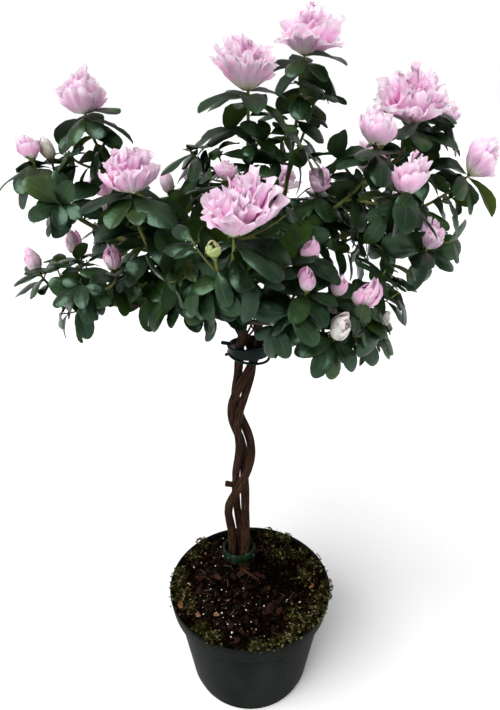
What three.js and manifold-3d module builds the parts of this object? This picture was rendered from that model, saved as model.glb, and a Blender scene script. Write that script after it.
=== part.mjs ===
// Potted azalea shrub on wound stems, in bloom. Millimetres, +Z up.
// The origin is the middle of the pot's flat underside. The plant's front looks along -Y.
// Bearings are degrees round +Z from +X, so the front is at 270.

import * as THREE from 'three';
import { mergeVertices } from 'three/addons/utils/BufferGeometryUtils.js';
import Module from 'manifold-3d';

const wasm = await Module();
wasm.setup();
const { Manifold, Mesh: SolidMesh } = wasm;

// ---------------------------------------------------------------- driving dimensions

const GAP = 0.35; // clear space between neighbouring pieces

const POT = {
  rimRadius: 75,
  rimRound: 0.8,
  height: 104.5,
  lipHeight: 16,
  lipTaper: 2, // how far the lip draws in towards its lower edge
  lipStep: 6.2, // how far the body stands in under the rim
  baseRadius: 56,
  wall: 1.5,
  floor: 2,
  segments: 32,
  holes: 4,
  holeRadius: 5,
  holeCircle: 34,
};

const SOIL = { level: 106, flatRadius: 38, slopeRadius: 60, slopeDrop: 4.6, edgeDrop: 3.4, segments: 24 };
const MOSS = [ // bearing, reach, half length, half height
  [352, 73, 11, 5.3], [12, 68, 9, 3.8], [283, 73, 10, 5.5], [232, 67, 9, 4.1],
  [198, 66, 10, 3.8], [118, 66, 9, 3.6], [72, 67, 10, 4.1], [322, 67, 9, 4.1],
];

// The stems wind round an axis that sways to the left and leans forwards from a foot behind the pot's middle.
// The sway, the lean, and each stem's bearing and distance from the axis, are given at equally spaced heights
// from the soil to the fork.
const TRUNK = {
  top: 362,
  sway: [-10.5, -10.5, -11.3, -9.5, -5.2, -9, -5, -2],
  behind: [24, 21, 16, 11, 6, 2, 0, 0],
  sides: 6,
  steps: 25,
  flare: 0.3,
  flareShare: 0.12,
  taper: 0.2,
};
const STEMS = [
  { name: 'stem_leading',
    radius: 4,
    bearings: [323, 339, 366, 408, 469, 547, 637, 755],
    spreads: [6, 6.8, 7, 6.7, 6.9, 6.1, 8, 9.5] },
  { name: 'stem_second',
    radius: 3.9,
    bearings: [166, 152, 195, 283, 378, 462, 547, 605],
    spreads: [6.2, 7.5, 8.6, 8, 6.3, 5.9, 4.5, 8.5] },
  { name: 'stem_third',
    radius: 3.6,
    bearings: [74, 79, 101, 142, 198, 271, 352, 480],
    spreads: [7.2, 6.7, 5.1, 3.8, 4.1, 5.1, 6, 8.5] },
];
const STUB = { stem: 2, height: 205, bearing: 190, length: 9, radius: 1.9, rise: 0.3 }; // a shoot cut off

const UPPER_TIE = {
  height: 346,
  band: 8,
  thick: 1.8,
  clear: 0.6,
  tabs: [{ bearing: 178, length: 6, tall: 3.4, tilt: 0.2 }, { bearing: 350, length: 9, tall: 4, tilt: 0.5 }],
};
const FOOT_CLIP = {
  height: 121,
  band: 10,
  thick: 1.6,
  clear: 0.7,
  tabs: [{ bearing: 235, length: 5, tall: 7, tilt: 0.3 }],
};

const BOUGH = {
  sides: 5,
  steps: 4,
  mainRadius: 3.1,
  radius: 2.4,
  tipRadius: 1.8,
  firstFork: 0.03, // share of the main bough at which the lowest bough leaves it
  forkStep: 0.065,
  follow: 0.5, // how strongly a bough sets off along the bough it leaves
  arch: 0.34, // how far a limb keeps its first and last direction, as a share of its span
};
const TWIG = {
  sides: 3,
  steps: 3,
  leaderSteps: 5,
  root: 1.7,
  sideRoot: 1.36,
  tip: 1,
  firstFork: 0.12, // share of the leader at which the first side shoot leaves it
  forkStep: 0.26,
  follow: 0.7,
};

const LEAF = {
  length: 36,
  size: { open: 1.1, half: 1.04, bud: 0.9, green: 0.8, leaves: 0.96 }, // by what the shoot carries
  least: 0.8, // of that length, for a whorl leaf
  leastBelow: 0.72,
  spread: 0.34, // the longest leaf is this much more
  width: 0.54,
  ridge: 0.034,
  droop: 0.17, // drop of the tip, as a share of the length
  sunk: 0.7, // how deep the root stands in the twig
};
const GROWTH = {
  goldenAngle: 137.5,
  sway: 30, // degrees that a leaf may stand off its place round the twig
  whorl: 7, // leaves set close under the tip of a shoot
  whorlStart: 1.5,
  whorlStep: 0.9,
  below: 7, // leaves further down the shoot
  belowStart: 14.5,
  belowStep: 7.5,
  bareRoot: 0.06, // share of the shoot without leaves
  pitch: { open: 70, half: 66, bud: 56, green: 60, leaves: 62 }, // least angle of a whorl leaf off the shoot
  pitchSpread: 30,
  pitchBelow: 58,
  pitchBelowSpread: 34,
  hang: { open: 0.46, half: 0.42, bud: 0.1, green: 0.14, leaves: 0.2 }, // how far whorl leaves sag
  hangBelow: 0.62,
};
const SPACE = {
  siteStep: 11, // distance between the points of a twig that claim space for its mass
  margin: 1.2,
  limbClear: 1.2,
  room: 7, // least distance between the middles of two leaves
  free: 0.1, // beyond this share from its root, a leaf crosses nothing
  tries: [1, 0.86, 0.72, 0.58], // a leaf that would leave its space is tried smaller before it is left out
};

// Each kind of bloom is one closed solid on its own axis. The rings run from its middle on top, over the
// inner petals and the lobed rim, down to the tube: [radius, height] as shares of its width. Notch is the
// radius between two lobes.
const BUD = { sectors: 5, notch: 1, rings: [[0, 1.75], [0.5, 0.8], [0.3, 0.15], [0, -0.1]] };
const BLOOMS = {
  open: { sectors: 10, notch: 0.84, rings: [[0, 0.56], [0.29, 0.62], [0.5, 0.38], [0.18, 0.08], [0, -0.02]] },
  half: { sectors: 8, notch: 0.86, rings: [[0, 0.8], [0.34, 0.86], [0.5, 0.54], [0.18, 0.1], [0, -0.04]] },
  bud: BUD,
  green: BUD,
};
const WIDE_BLOOM = 12; // a bloom wider than this claims space of its own

// One row for each bough: the trunk stem that bears it, the share of its way at which it enters its own mass
// of foliage, the seed of that mass, and the mass's shoots. A shoot is [bearing, reach, height, what it
// carries, its width, how far it leans outwards]. The first shoot is the one that the bough runs out into.
const CROWN = [
  { name: 'top', stem: 0, enter: 0.52, seed: 7, shoots: [
    [31, 42, 549, 'open', 40, 0.1], [25, 50, 528, 'leaves', 0, 0.2]] },
  { name: 'top_front', stem: 1, enter: 0.6, seed: 18, shoots: [
    [268, 30, 528, 'open', 38, 0], [215, 46, 494, 'leaves', 0, 0.5], [325, 40, 496, 'leaves', 0, 0.4]] },
  { name: 'left_high', stem: 1, enter: 0.66, seed: 7, shoots: [
    [175, 110, 514, 'open', 33, 0.1], [178, 122, 490, 'leaves', 0, 0.2]] },
  { name: 'left_tip', stem: 1, enter: 0.72, seed: 76, shoots: [
    [184, 142, 486, 'half', 17, 0.1], [181, 132, 484, 'bud', 10, 0.1], [192, 120, 462, 'leaves', 0, 0.4]] },
  { name: 'left_middle', stem: 2, enter: 0.6, seed: 51, shoots: [
    [226, 97, 476, 'open', 32, 0], [193, 54, 464, 'bud', 10, 0.3], [208, 72, 450, 'leaves', 0, 0.6]] },
  { name: 'left_low', stem: 1, enter: 0.6, seed: 50, shoots: [
    [196, 144, 419, 'bud', 11, 0.4], [180, 125, 420, 'bud', 12, 0.2], [216, 103, 425, 'bud', 11, 0.2]] },
  { name: 'front', stem: 2, enter: 0.6, seed: 43, shoots: [
    [266, 117, 462, 'open', 38, 0.15], [262, 126, 452, 'green', 7, 0.5], [255, 54, 478, 'half', 13, 0.1],
    [244, 98, 440, 'leaves', 0, 0.6], [284, 84, 452, 'leaves', 0, 0.5]] },
  { name: 'right_high', stem: 0, enter: 0.66, seed: 1, shoots: [
    [5, 110, 508, 'open', 46, 0], [11, 135, 506, 'half', 15, 0.7], [14, 124, 512, 'half', 26, 0.3]] },
  { name: 'right_middle', stem: 0, enter: 0.6, seed: 1, shoots: [
    [332, 86, 496, 'half', 25, 0.1], [331, 105, 470, 'half', 24, 0.1], [343, 62, 490, 'leaves', 0, 0.4]] },
  { name: 'right_tip', stem: 0, enter: 0.6, seed: 71, shoots: [
    [4, 153, 474, 'open', 27, 0.9], [347, 120, 431, 'half', 20, 0.4], [350, 96, 436, 'leaves', 0, 0.3]] },
  { name: 'middle', stem: 0, enter: 0.5, seed: 36, shoots: [
    [336, 48, 466, 'half', 17, 0.2], [352, 76, 440, 'leaves', 0, 0.4], [300, 52, 447, 'leaves', 0, 0.5]] },
  { name: 'front_right', stem: 2, enter: 0.55, seed: 54, shoots: [
    [288, 102, 425, 'bud', 10, 0.4], [291, 90, 438, 'bud', 10, 0.3], [302, 95, 417, 'bud', 10, 0.5]] },
  { name: 'right_low', stem: 0, enter: 0.55, seed: 9, shoots: [
    [311, 100, 407, 'half', 15, 0.4], [299, 104, 394, 'half', 13, 0.7], [322, 104, 390, 'bud', 9, 0.6],
    [334, 100, 418, 'leaves', 0, 0.5]] },
  { name: 'left_skirt', stem: 1, enter: 0.5, seed: 1, shoots: [
    [238, 84, 416, 'leaves', 0, 0.6], [212, 90, 428, 'leaves', 0, 0.5], [262, 74, 422, 'leaves', 0, 0.6],
    [195, 92, 412, 'leaves', 0, 0.5]] },
  { name: 'back_high', stem: 2, enter: 0.6, seed: 71, shoots: [
    [98, 62, 470, 'leaves', 0, 0.3], [124, 76, 458, 'half', 18, 0.4], [78, 90, 450, 'open', 34, 0.4]] },
  { name: 'back_left', stem: 2, enter: 0.6, seed: 8, shoots: [
    [150, 124, 452, 'open', 32, 0.4], [163, 112, 434, 'bud', 11, 0.5], [134, 106, 430, 'leaves', 0, 0.5]] },
  { name: 'back_right', stem: 0, enter: 0.6, seed: 31, shoots: [
    [40, 122, 466, 'open', 34, 0.4], [24, 116, 440, 'bud', 11, 0.5], [58, 104, 440, 'half', 18, 0.5]] },
  { name: 'back_low', stem: 2, enter: 0.55, seed: 15, shoots: [
    [96, 112, 432, 'open', 33, 0.4], [114, 98, 412, 'bud', 10, 0.5], [76, 96, 408, 'leaves', 0, 0.6]] },
];

// ---------------------------------------------------------------- materials

const finish = (color, roughness, metalness = 0) =>
  new THREE.MeshStandardMaterial({ color, roughness, metalness });

const MATERIALS = {
  pot: finish(0x2f3533, 0.55),
  soil: finish(0x15110d, 1),
  bark: finish(0x4a3123, 0.9),
  bough: finish(0x57482a, 0.8),
  foliage: finish(0x24382a, 0.45),
  tie: finish(0x12302b, 0.5),
  clip: finish(0x4f7a52, 0.45),
};

// ---------------------------------------------------------------- tools for numbers and solids

const { clamp, degToRad, lerp, smoothstep } = THREE.MathUtils;

const polar = (bearing, reach, height) => new THREE.Vector3(
  reach * Math.cos(degToRad(bearing)), reach * Math.sin(degToRad(bearing)), height);

const rowOf = (count, item) => Array.from({ length: count }, (_, i) => item(i));

// A repeatable run of numbers from 0 to 1.
function seeded(seed) {
  let state = seed * 48271 + 11;
  return () => {
    state = (state * 16807) % 2147483647;
    return state / 2147483647;
  };
}

// A closed geometry as a solid: only its positions count, with shared corners merged.
function solidOf(geometry) {
  const bare = geometry.clone();
  bare.deleteAttribute('normal');
  bare.deleteAttribute('uv');
  const merged = mergeVertices(bare, 1e-4);
  return new Manifold(new SolidMesh({
    numProp: 3,
    vertProperties: new Float32Array(merged.attributes.position.array),
    triVerts: new Uint32Array(merged.index.array),
  }));
}

function geometryOf(solid) {
  const { numProp, numVert, vertProperties, triVerts } = solid.getMesh();
  const corners = new Float32Array(numVert * 3);
  for (let i = 0; i < numVert; i++) {
    corners.set(vertProperties.subarray(i * numProp, i * numProp + 3), i * 3);
  }
  const geometry = new THREE.BufferGeometry();
  geometry.setAttribute('position', new THREE.BufferAttribute(corners, 3));
  geometry.setIndex(new THREE.BufferAttribute(new Uint32Array(triVerts), 1));
  geometry.computeVertexNormals();
  return geometry;
}

// The one body that matters of a solid that a cut has left in pieces.
const mainBody = (solid) =>
  solid.decompose().reduce((best, body) => (body.volume() > best.volume() ? body : best));

// Moves every corner of a geometry with place(corner).
function reshape(geometry, place) {
  const corners = geometry.attributes.position;
  const corner = new THREE.Vector3();
  for (let i = 0; i < corners.count; i++) {
    corner.fromBufferAttribute(corners, i);
    place(corner);
    corners.setXYZ(i, corner.x, corner.y, corner.z);
  }
  return geometry;
}

// A round limb along a curve: a cylinder whose rings are laid on the curve, with its own radius at each ring.
function limbSolid(curve, radiusAt, sides, steps) {
  const frames = curve.computeFrenetFrames(steps);
  return solidOf(reshape(new THREE.CylinderGeometry(1, 1, 1, sides, steps), (corner) => {
    const share = corner.y + 0.5;
    const ring = Math.round(share * steps);
    const radius = radiusAt(share);
    const side = frames.normals[ring].clone().multiplyScalar(corner.x * radius);
    const front = frames.binormals[ring].clone().multiplyScalar(-corner.z * radius);
    corner.copy(curve.getPointAt(share)).add(side).add(front);
  }));
}

// A turned shape from a closed profile of [radius, height] pairs.
function turned(profile, segments) {
  const points = profile.map(([radius, height]) => new THREE.Vector2(radius, height));
  return new THREE.LatheGeometry(points, segments).rotateX(Math.PI / 2);
}

// ---------------------------------------------------------------- pot and soil

const UNDER_LIP = POT.height - POT.lipHeight;
const NECK = POT.rimRadius - POT.lipStep;
const LIP_FOOT = POT.rimRadius - POT.lipTaper;
const SHOULDER = UNDER_LIP + 2.4; // where the wall's inside turns up into the lip

function potSolid() {
  const { rimRadius, rimRound, height, baseRadius, wall, floor } = POT;
  const outline = [
    [0, 0], [baseRadius - floor, 0], [baseRadius, floor], [NECK, UNDER_LIP], [LIP_FOOT, UNDER_LIP + 1],
    [rimRadius, height - 3], [rimRadius, height - rimRound], [rimRadius - rimRound, height],
    [rimRadius - wall, height], [LIP_FOOT - wall, SHOULDER], [NECK - wall, UNDER_LIP + 1],
    [baseRadius - wall, floor], [0, floor]];
  const drills = rowOf(POT.holes, (i) => {
    const { x, y } = polar((i + 0.5) * 360 / POT.holes, POT.holeCircle, 0);
    return solidOf(new THREE.CylinderGeometry(POT.holeRadius, POT.holeRadius, 3 * floor, 8)
      .rotateX(Math.PI / 2).translate(x, y, floor / 2));
  });
  return solidOf(turned(outline, POT.segments)).subtract(Manifold.union(drills));
}

// The root ball fills the pot and is mounded round the stems. Moss stands on its edge, and in two places
// hangs over the rim.
function soilSolid() {
  const { rimRadius, height, baseRadius, wall, floor } = POT;
  const slack = 2 * GAP; // the soil's flat sides come nearer to the wall than its corners do
  const lipInside = LIP_FOOT - wall - GAP;
  const ball = solidOf(turned([
    [0, floor + GAP], [baseRadius - wall - slack, floor + GAP], [NECK - wall - GAP, UNDER_LIP + 1],
    [LIP_FOOT - wall - slack, SHOULDER + 1], [rimRadius - wall - slack, SOIL.level - SOIL.edgeDrop],
    [SOIL.slopeRadius, SOIL.level - SOIL.slopeDrop], [SOIL.flatRadius, SOIL.level], [0, SOIL.level],
  ], SOIL.segments));
  const besideRim = rimRadius + 30;
  const hangsTo = height - 5; // moss reaches no lower than this outside the rim
  const rimSpace = solidOf(turned([
    [lipInside, UNDER_LIP], [besideRim, UNDER_LIP], [besideRim, hangsTo], [rimRadius + GAP, hangsTo],
    [rimRadius + GAP, height + GAP], [rimRadius - wall - GAP, height + GAP], [lipInside, SHOULDER],
    [lipInside, UNDER_LIP],
  ], POT.segments));
  const moss = MOSS.map(([bearing, reach, half, tall]) => {
    const { x, y, z } = polar(bearing, reach, SOIL.level - SOIL.edgeDrop + GAP);
    return solidOf(new THREE.OctahedronGeometry(1, 0).scale(half * 0.6, half, tall)
      .rotateZ(degToRad(bearing)).translate(x, y, z)).subtract(rimSpace);
  });
  return mainBody(Manifold.union([ball, ...moss]));
}

// ---------------------------------------------------------------- trunk: stems wound round each other

// A value of an evenly spaced row at a height, run smoothly through its neighbours.
function alongTrunk(row, height) {
  const last = row.length - 1;
  const at = clamp((height - SOIL.level) / (TRUNK.top - SOIL.level), 0, 1) * last;
  const low = Math.min(Math.floor(at), last - 1);
  const [before, from, to, after] = [-1, 0, 1, 2].map((step) => row[clamp(low + step, 0, last)]);
  const share = at - low;
  const leave = (to - before) / 2;
  const arrive = (after - from) / 2;
  return from + leave * share + (3 * (to - from) - 2 * leave - arrive) * share ** 2
    + (2 * (from - to) + leave + arrive) * share ** 3;
}

function stemPoint(stem, height) {
  const place = polar(alongTrunk(stem.bearings, height), alongTrunk(stem.spreads, height), height);
  place.x += alongTrunk(TRUNK.sway, height);
  place.y += alongTrunk(TRUNK.behind, height);
  return place;
}

const STEM_FOOT = SOIL.level - 6; // the stems are made a little too long and cut flat at the soil
const stemCurve = (stem) => new THREE.CatmullRomCurve3(rowOf(TRUNK.steps + 1, (i) =>
  stemPoint(stem, lerp(STEM_FOOT, TRUNK.top, i / TRUNK.steps))));

// Thickest at the root flare, and a little thinner towards the fork.
const stemRadius = (stem, grow) => (share) =>
  stem.radius * (1 - TRUNK.taper * share + TRUNK.flare * (1 - smoothstep(share, 0, TRUNK.flareShare))) + grow;

const stemSolid = (stem, grow = 0) =>
  limbSolid(stemCurve(stem), stemRadius(stem, grow), TRUNK.sides, TRUNK.steps);

const stubSolid = () => {
  const root = stemPoint(STEMS[STUB.stem], STUB.height);
  const tip = root.clone().addScaledVector(polar(STUB.bearing, 1, STUB.rise), STUB.length);
  return limbSolid(new THREE.LineCurve3(root, tip), () => STUB.radius, BOUGH.sides, 1);
};

const belowSoil = solidOf(new THREE.BoxGeometry(200, 200, 60).translate(0, 0, SOIL.level + GAP - 30));

// A band bent round the stems: a ring on the smallest oval of their own proportions that clears them all over
// its height, with its free ends standing out.
function bandSolid({ height, band, thick, clear, tabs }) {
  const skin = STEMS.flatMap((stem) => [-0.6, -0.3, 0, 0.3, 0.6].flatMap((part) => {
    const { x, y } = stemPoint(stem, height + part * band);
    return rowOf(12, (i) => polar(i * 30, stem.radius + clear, 0).add(new THREE.Vector3(x, y, 0)));
  }));
  const box = new THREE.Box3().setFromPoints(skin);
  const middle = box.getCenter(new THREE.Vector3());
  const half = box.getSize(new THREE.Vector3()).multiplyScalar(0.5);
  const swell = Math.max(...skin.map(({ x, y }) =>
    Math.hypot((x - middle.x) / half.x, (y - middle.y) / half.y)));
  const [wide, deep] = [half.x * swell, half.y * swell];
  const outside = 1 + thick / wide;
  const ring = solidOf(turned([[1, -band / 2], [outside, -band / 2], [outside, band / 2], [1, band / 2],
    [1, -band / 2]], 16).scale(wide, deep, 1));
  const ends = tabs.map(({ bearing, length, tall, tilt }) => {
    const foot = polar(bearing, 1, 0);
    const end = new THREE.BoxGeometry(length, thick * 1.6, tall).rotateY(tilt);
    return solidOf(end.translate((length + thick) / 2, 0, 0).rotateZ(degToRad(bearing))
      .translate(wide * foot.x, deep * foot.y, 0));
  });
  return Manifold.union([ring, ...ends]).translate([middle.x, middle.y, height]);
}

// ---------------------------------------------------------------- boughs and twigs

const shootTip = ([bearing, reach, height]) => polar(bearing, reach, height);
const tipHeight = (bough) => bough.shoots[0][2];

// A limb from a root point to a shoot's tip. It sets off along start, and ends upwards with the shoot's lean.
function limbTo(root, start, shoot) {
  const [bearing, , , , , lean] = shoot;
  const tip = shootTip(shoot);
  const arch = BOUGH.arch * tip.distanceTo(root);
  const early = root.clone().addScaledVector(start, arch);
  const late = tip.clone().addScaledVector(polar(bearing, lean, 1).normalize(), -arch);
  return new THREE.CubicBezierCurve3(root, early, late, tip);
}

// The highest bough of a stem runs straight on from it. The others leave that bough, the lowest first.
// A bough and the leader it runs out into are one curve.
function leaderCurve(bough) {
  const family = CROWN.filter(({ stem }) => stem === bough.stem).sort((a, b) => tipHeight(a) - tipHeight(b));
  const main = family[family.length - 1];
  const root = stemPoint(STEMS[bough.stem], TRUNK.top - 3);
  const onward = shootTip(main.shoots[0]).sub(root).multiply(new THREE.Vector3(1, 1, 0.8)).normalize();
  const mainCurve = limbTo(root, onward, main.shoots[0]);
  if (bough === main) return mainCurve;
  const share = BOUGH.firstFork + BOUGH.forkStep * family.indexOf(bough);
  const fork = mainCurve.getPointAt(share);
  const start = shootTip(bough.shoots[0]).sub(fork).normalize();
  start.addScaledVector(mainCurve.getTangentAt(share), BOUGH.follow).normalize();
  return limbTo(fork, start, bough.shoots[0]);
}

// A side shoot leaves the leader inside the mass and bends up to its own tip.
function sideCurve(leader, share, shoot) {
  const root = leader.getPointAt(share);
  const start = shootTip(shoot).sub(root).normalize();
  start.addScaledVector(leader.getTangentAt(share), TWIG.follow).normalize();
  return limbTo(root, start, shoot);
}

// The stretch of a curve between two shares of its length.
const stretch = (curve, from, to, steps) => new THREE.CatmullRomCurve3(
  rowOf(steps + 1, (i) => curve.getPointAt(lerp(from, to, i / steps))));

const CROWN_PLAN = CROWN.map((bough, number) => {
  const leader = leaderCurve(bough);
  const start = bough.enter + GAP / leader.getLength();
  const twigs = bough.shoots.map((shoot, i) => {
    const share = lerp(bough.enter, 1, TWIG.firstFork + TWIG.forkStep * (i - 1));
    const curve = i === 0 ? stretch(leader, start, 1, TWIG.leaderSteps + 1) : sideCurve(leader, share, shoot);
    return { shoot, isLeader: i === 0, curve };
  });
  const isMain = leader.getPointAt(0).z < TRUNK.top;
  return { ...bough, number, isMain, twigs, limb: stretch(leader, 0.02, bough.enter, BOUGH.steps) };
});

function boughSolid({ isMain, limb }, grow = 0) {
  const root = isMain ? BOUGH.mainRadius : BOUGH.radius;
  return limbSolid(limb, (share) => lerp(root, BOUGH.tipRadius, share) + grow, BOUGH.sides, BOUGH.steps);
}

function twigSolid({ curve, isLeader }) {
  const root = isLeader ? TWIG.root : TWIG.sideRoot;
  const steps = isLeader ? TWIG.leaderSteps : TWIG.steps;
  return limbSolid(curve, (share) => lerp(root, TWIG.tip, share), TWIG.sides, steps);
}

// ---------------------------------------------------------------- leaves and blooms

// A leaf is an eight-faced blade bent down towards its tip: five corners round it, as shares of its length
// and its half width, a low ridge on top, and three faces below.
const LEAF_EDGE = [[0, 0], [0.55, -1], [0.95, -0.3], [0.95, 0.3], [0.55, 1]];
const LEAF_FACES = [0, 1, 5, 1, 2, 5, 2, 3, 5, 3, 4, 5, 4, 0, 5, 0, 4, 1, 1, 4, 2, 2, 4, 3];
const LEAF_PROBES = [
  [0.3, 0.5], [0.3, -0.5], [0.55, 1], [0.55, -1], [0.6, 0], [0.8, 0.7], [0.8, -0.7], [0.97, 0.3],
  [0.97, -0.3]];

function leafPoint({ root, along, face, length }, x, y, lift = 0) {
  const across = new THREE.Vector3().crossVectors(face, along);
  return root.clone().addScaledVector(along, x * length)
    .addScaledVector(across, y * length * LEAF.width / 2)
    .addScaledVector(face, lift * length - LEAF.droop * length * x * x);
}

function leafSolid(leaf) {
  const corners = [...LEAF_EDGE.map(([x, y]) => leafPoint(leaf, x, y)), leafPoint(leaf, 0.5, 0, LEAF.ridge)];
  return solidOf(new THREE.BufferGeometry().setFromPoints(corners).setIndex(LEAF_FACES));
}

// The leaves of one shoot: a whorl under its tip and more down its length, each turned on by the golden
// angle. The more upright the shoot, the further its leaves hang.
function shootLeaves({ shoot, curve }, random) {
  const carries = shoot[3];
  const length = curve.getLength();
  const turnStart = random() * 360;
  const leaves = [];
  for (let i = 0; i < GROWTH.whorl + GROWTH.below; i++) {
    const inWhorl = i < GROWTH.whorl;
    const back = inWhorl ? GROWTH.whorlStart + i * GROWTH.whorlStep
      : GROWTH.belowStart + (i - GROWTH.whorl) * GROWTH.belowStep;
    const [sway, tilt, size] = [random(), random(), random()];
    if (back > length * (1 - GROWTH.bareRoot)) break;
    const axis = curve.getTangentAt(1 - back / length);
    const level = new THREE.Vector3(axis.z < 0.95 ? 0 : 1, 0, axis.z < 0.95 ? 1 : 0);
    const bearing = turnStart + i * GROWTH.goldenAngle + (sway - 0.5) * GROWTH.sway;
    const radial = new THREE.Vector3().crossVectors(axis, level).normalize()
      .applyAxisAngle(axis, degToRad(bearing));
    const pitch = degToRad(inWhorl ? GROWTH.pitch[carries] + tilt * GROWTH.pitchSpread
      : GROWTH.pitchBelow + tilt * GROWTH.pitchBelowSpread);
    const along = radial.multiplyScalar(Math.sin(pitch)).addScaledVector(axis, Math.cos(pitch));
    along.z -= Math.max(axis.z, 0) * (inWhorl ? GROWTH.hang[carries] : GROWTH.hangBelow);
    along.normalize();
    const grown = (inWhorl ? LEAF.least : LEAF.leastBelow) + LEAF.spread * size;
    leaves.push({
      root: curve.getPointAt(1 - back / length).addScaledVector(along, -LEAF.sunk),
      along,
      face: axis.clone().addScaledVector(along, -axis.dot(along)).normalize(),
      length: LEAF.length * LEAF.size[carries] * grown,
    });
  }
  return leaves;
}

function bloomSolid({ shoot, curve }, random) {
  const [, , , carries, width] = shoot;
  const { sectors, notch, rings } = BLOOMS[carries];
  const bands = rings.length - 1;
  const rim = bands - 2;
  const turn = new THREE.Quaternion().setFromUnitVectors(new THREE.Vector3(0, 1, 0), curve.getTangentAt(1));
  const rosette = reshape(new THREE.SphereGeometry(1, sectors, bands), (corner) => {
    const ring = Math.round(Math.acos(clamp(corner.y, -1, 1)) / Math.PI * bands);
    const sector = Math.round(Math.atan2(corner.z, corner.x) / (2 * Math.PI) * sectors);
    const [radius, height] = rings[ring];
    const reach = radius * (ring === rim && sector % 2 !== 0 ? notch : 1);
    corner.copy(polar(sector * 360 / sectors, reach, 0)).set(corner.x, height, corner.y);
  });
  const { x, y, z } = curve.getPointAt(1);
  return solidOf(rosette.rotateY(2 * Math.PI * random()).scale(width, width, width)
    .applyQuaternion(turn).translate(x, y, z));
}

// ---------------------------------------------------------------- masses of foliage

// Every mass's own space is what lies nearest to its twigs and blooms.
const SITES = CROWN_PLAN.flatMap(({ number, twigs }) => twigs.flatMap(({ shoot, curve }) => {
  const width = shoot[4];
  const count = Math.max(3, Math.round(curve.getLength() / SPACE.siteStep));
  const sites = curve.getSpacedPoints(count).map((at) => ({ at, number, radius: 0 }));
  if (width > WIDE_BLOOM) {
    const middle = curve.getPointAt(1).addScaledVector(curve.getTangentAt(1), width * 0.35);
    sites.push({ at: middle, number, radius: width / 2 });
  }
  return sites;
}));

function inOwnSpace(point, number) {
  const nearest = (own) => Math.min(...SITES.filter((site) => (site.number === number) === own)
    .map((site) => site.at.distanceTo(point) - site.radius));
  return nearest(false) - nearest(true) > SPACE.margin;
}

const LIMB_POINTS = [
  ...STEMS.flatMap((stem) => stemCurve(stem).getSpacedPoints(60)
    .map((at) => ({ at, radius: 1.1 * stem.radius }))),
  ...CROWN_PLAN.flatMap(({ limb }) => limb.getSpacedPoints(24)
    .map((at) => ({ at, radius: BOUGH.mainRadius }))),
];

const clearOfLimbs = (point) =>
  LIMB_POINTS.every(({ at, radius }) => at.distanceTo(point) > radius + SPACE.limbClear);

// The largest form of a leaf that keeps to its mass's space, if any does.
const fitted = (leaf, number) => SPACE.tries.map((share) => ({ ...leaf, length: leaf.length * share }))
  .find((one) => LEAF_PROBES.map(([x, y]) => leafPoint(one, x, y))
    .every((point) => inOwnSpace(point, number) && clearOfLimbs(point)));

// A leaf's part beyond its root, with which it may not cross another leaf, a twig or a bloom.
function freePart(leaf) {
  const root = leafPoint(leaf, SPACE.free, 0);
  const blade = leafSolid({ ...leaf, root, length: leaf.length * (1 - SPACE.free) });
  return { middle: leafPoint(leaf, 0.6, 0), blade };
}

const crosses = (one, other) => {
  const apart = one.middle.distanceTo(other.middle);
  return apart < SPACE.room || (apart < LEAF.length && !one.blade.intersect(other.blade).isEmpty());
};

function massSolid({ number, seed, twigs }) {
  const random = seeded(seed);
  const shoots = twigs.map((twig) => ({
    wood: twigSolid(twig),
    leaves: shootLeaves(twig, random),
    bloom: twig.shoot[3] === 'leaves' ? [] : [bloomSolid(twig, random)],
  }));
  const blooms = shoots.flatMap(({ bloom }) => bloom);
  const placed = [];
  const pieces = [...shoots.map(({ wood }) => wood), ...blooms];
  for (const { wood, leaves } of shoots) {
    const otherWood = shoots.filter((shoot) => shoot.wood !== wood).map((shoot) => shoot.wood);
    const others = Manifold.union([...otherWood, ...blooms]);
    for (const grown of leaves) {
      const leaf = fitted(grown, number);
      if (!leaf) continue;
      const part = freePart(leaf);
      if (placed.some((other) => crosses(part, other)) || !others.intersect(part.blade).isEmpty()) continue;
      placed.push(part);
      pieces.push(leafSolid(leaf));
    }
  }
  return Manifold.union(pieces);
}

// ---------------------------------------------------------------- assembly

const plant = new THREE.Group();

function place(name, solid, material) {
  const mesh = new THREE.Mesh(geometryOf(solid), material);
  mesh.name = name;
  plant.add(mesh);
}

place('pot', potSolid(), MATERIALS.pot);
place('soil', soilSolid(), MATERIALS.soil);

STEMS.forEach((stem, i) => {
  const grown = i === STUB.stem ? stemSolid(stem).add(stubSolid()) : stemSolid(stem);
  place(stem.name, grown.subtract(belowSoil), MATERIALS.bark);
});
place('upper_tie', bandSolid(UPPER_TIE), MATERIALS.tie);
place('foot_clip', bandSolid(FOOT_CLIP), MATERIALS.clip);

// Boughs are cut clear of the stems and of the boughs before them, so each starts a little off its neighbour.
const grownLimbs = STEMS.map((stem) => stemSolid(stem, GAP));
for (const bough of [...CROWN_PLAN].sort((a, b) => b.isMain - a.isMain)) {
  const limb = mainBody(boughSolid(bough).subtract(Manifold.union(grownLimbs)));
  place(`bough_${bough.name}`, limb, MATERIALS.bough);
  grownLimbs.push(boughSolid(bough, GAP));
}

// Loose scraps are dropped, and corners that a join left next to each other become one.
const TINY = 0.01;
const allLimbs = Manifold.union(grownLimbs);
for (const mass of CROWN_PLAN) {
  const foliage = mainBody(massSolid(mass).subtract(allLimbs)).simplify(TINY);
  place(`foliage_${mass.name}`, foliage, MATERIALS.foliage);
}

export default plant;
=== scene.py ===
# Potted azalea shrub in bloom, grown on a trunk of three stems that wind round each other.
# Lengths are in millimetres in the plant's own frame, and each piece is turned into metres when it is made.
# Bearings are degrees round +Z from +X, so the plant's front, along -Y, is at 270.

import bisect
import math

import bmesh
import bpy
import numpy as np
from mathutils import Matrix, Vector, noise


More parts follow.
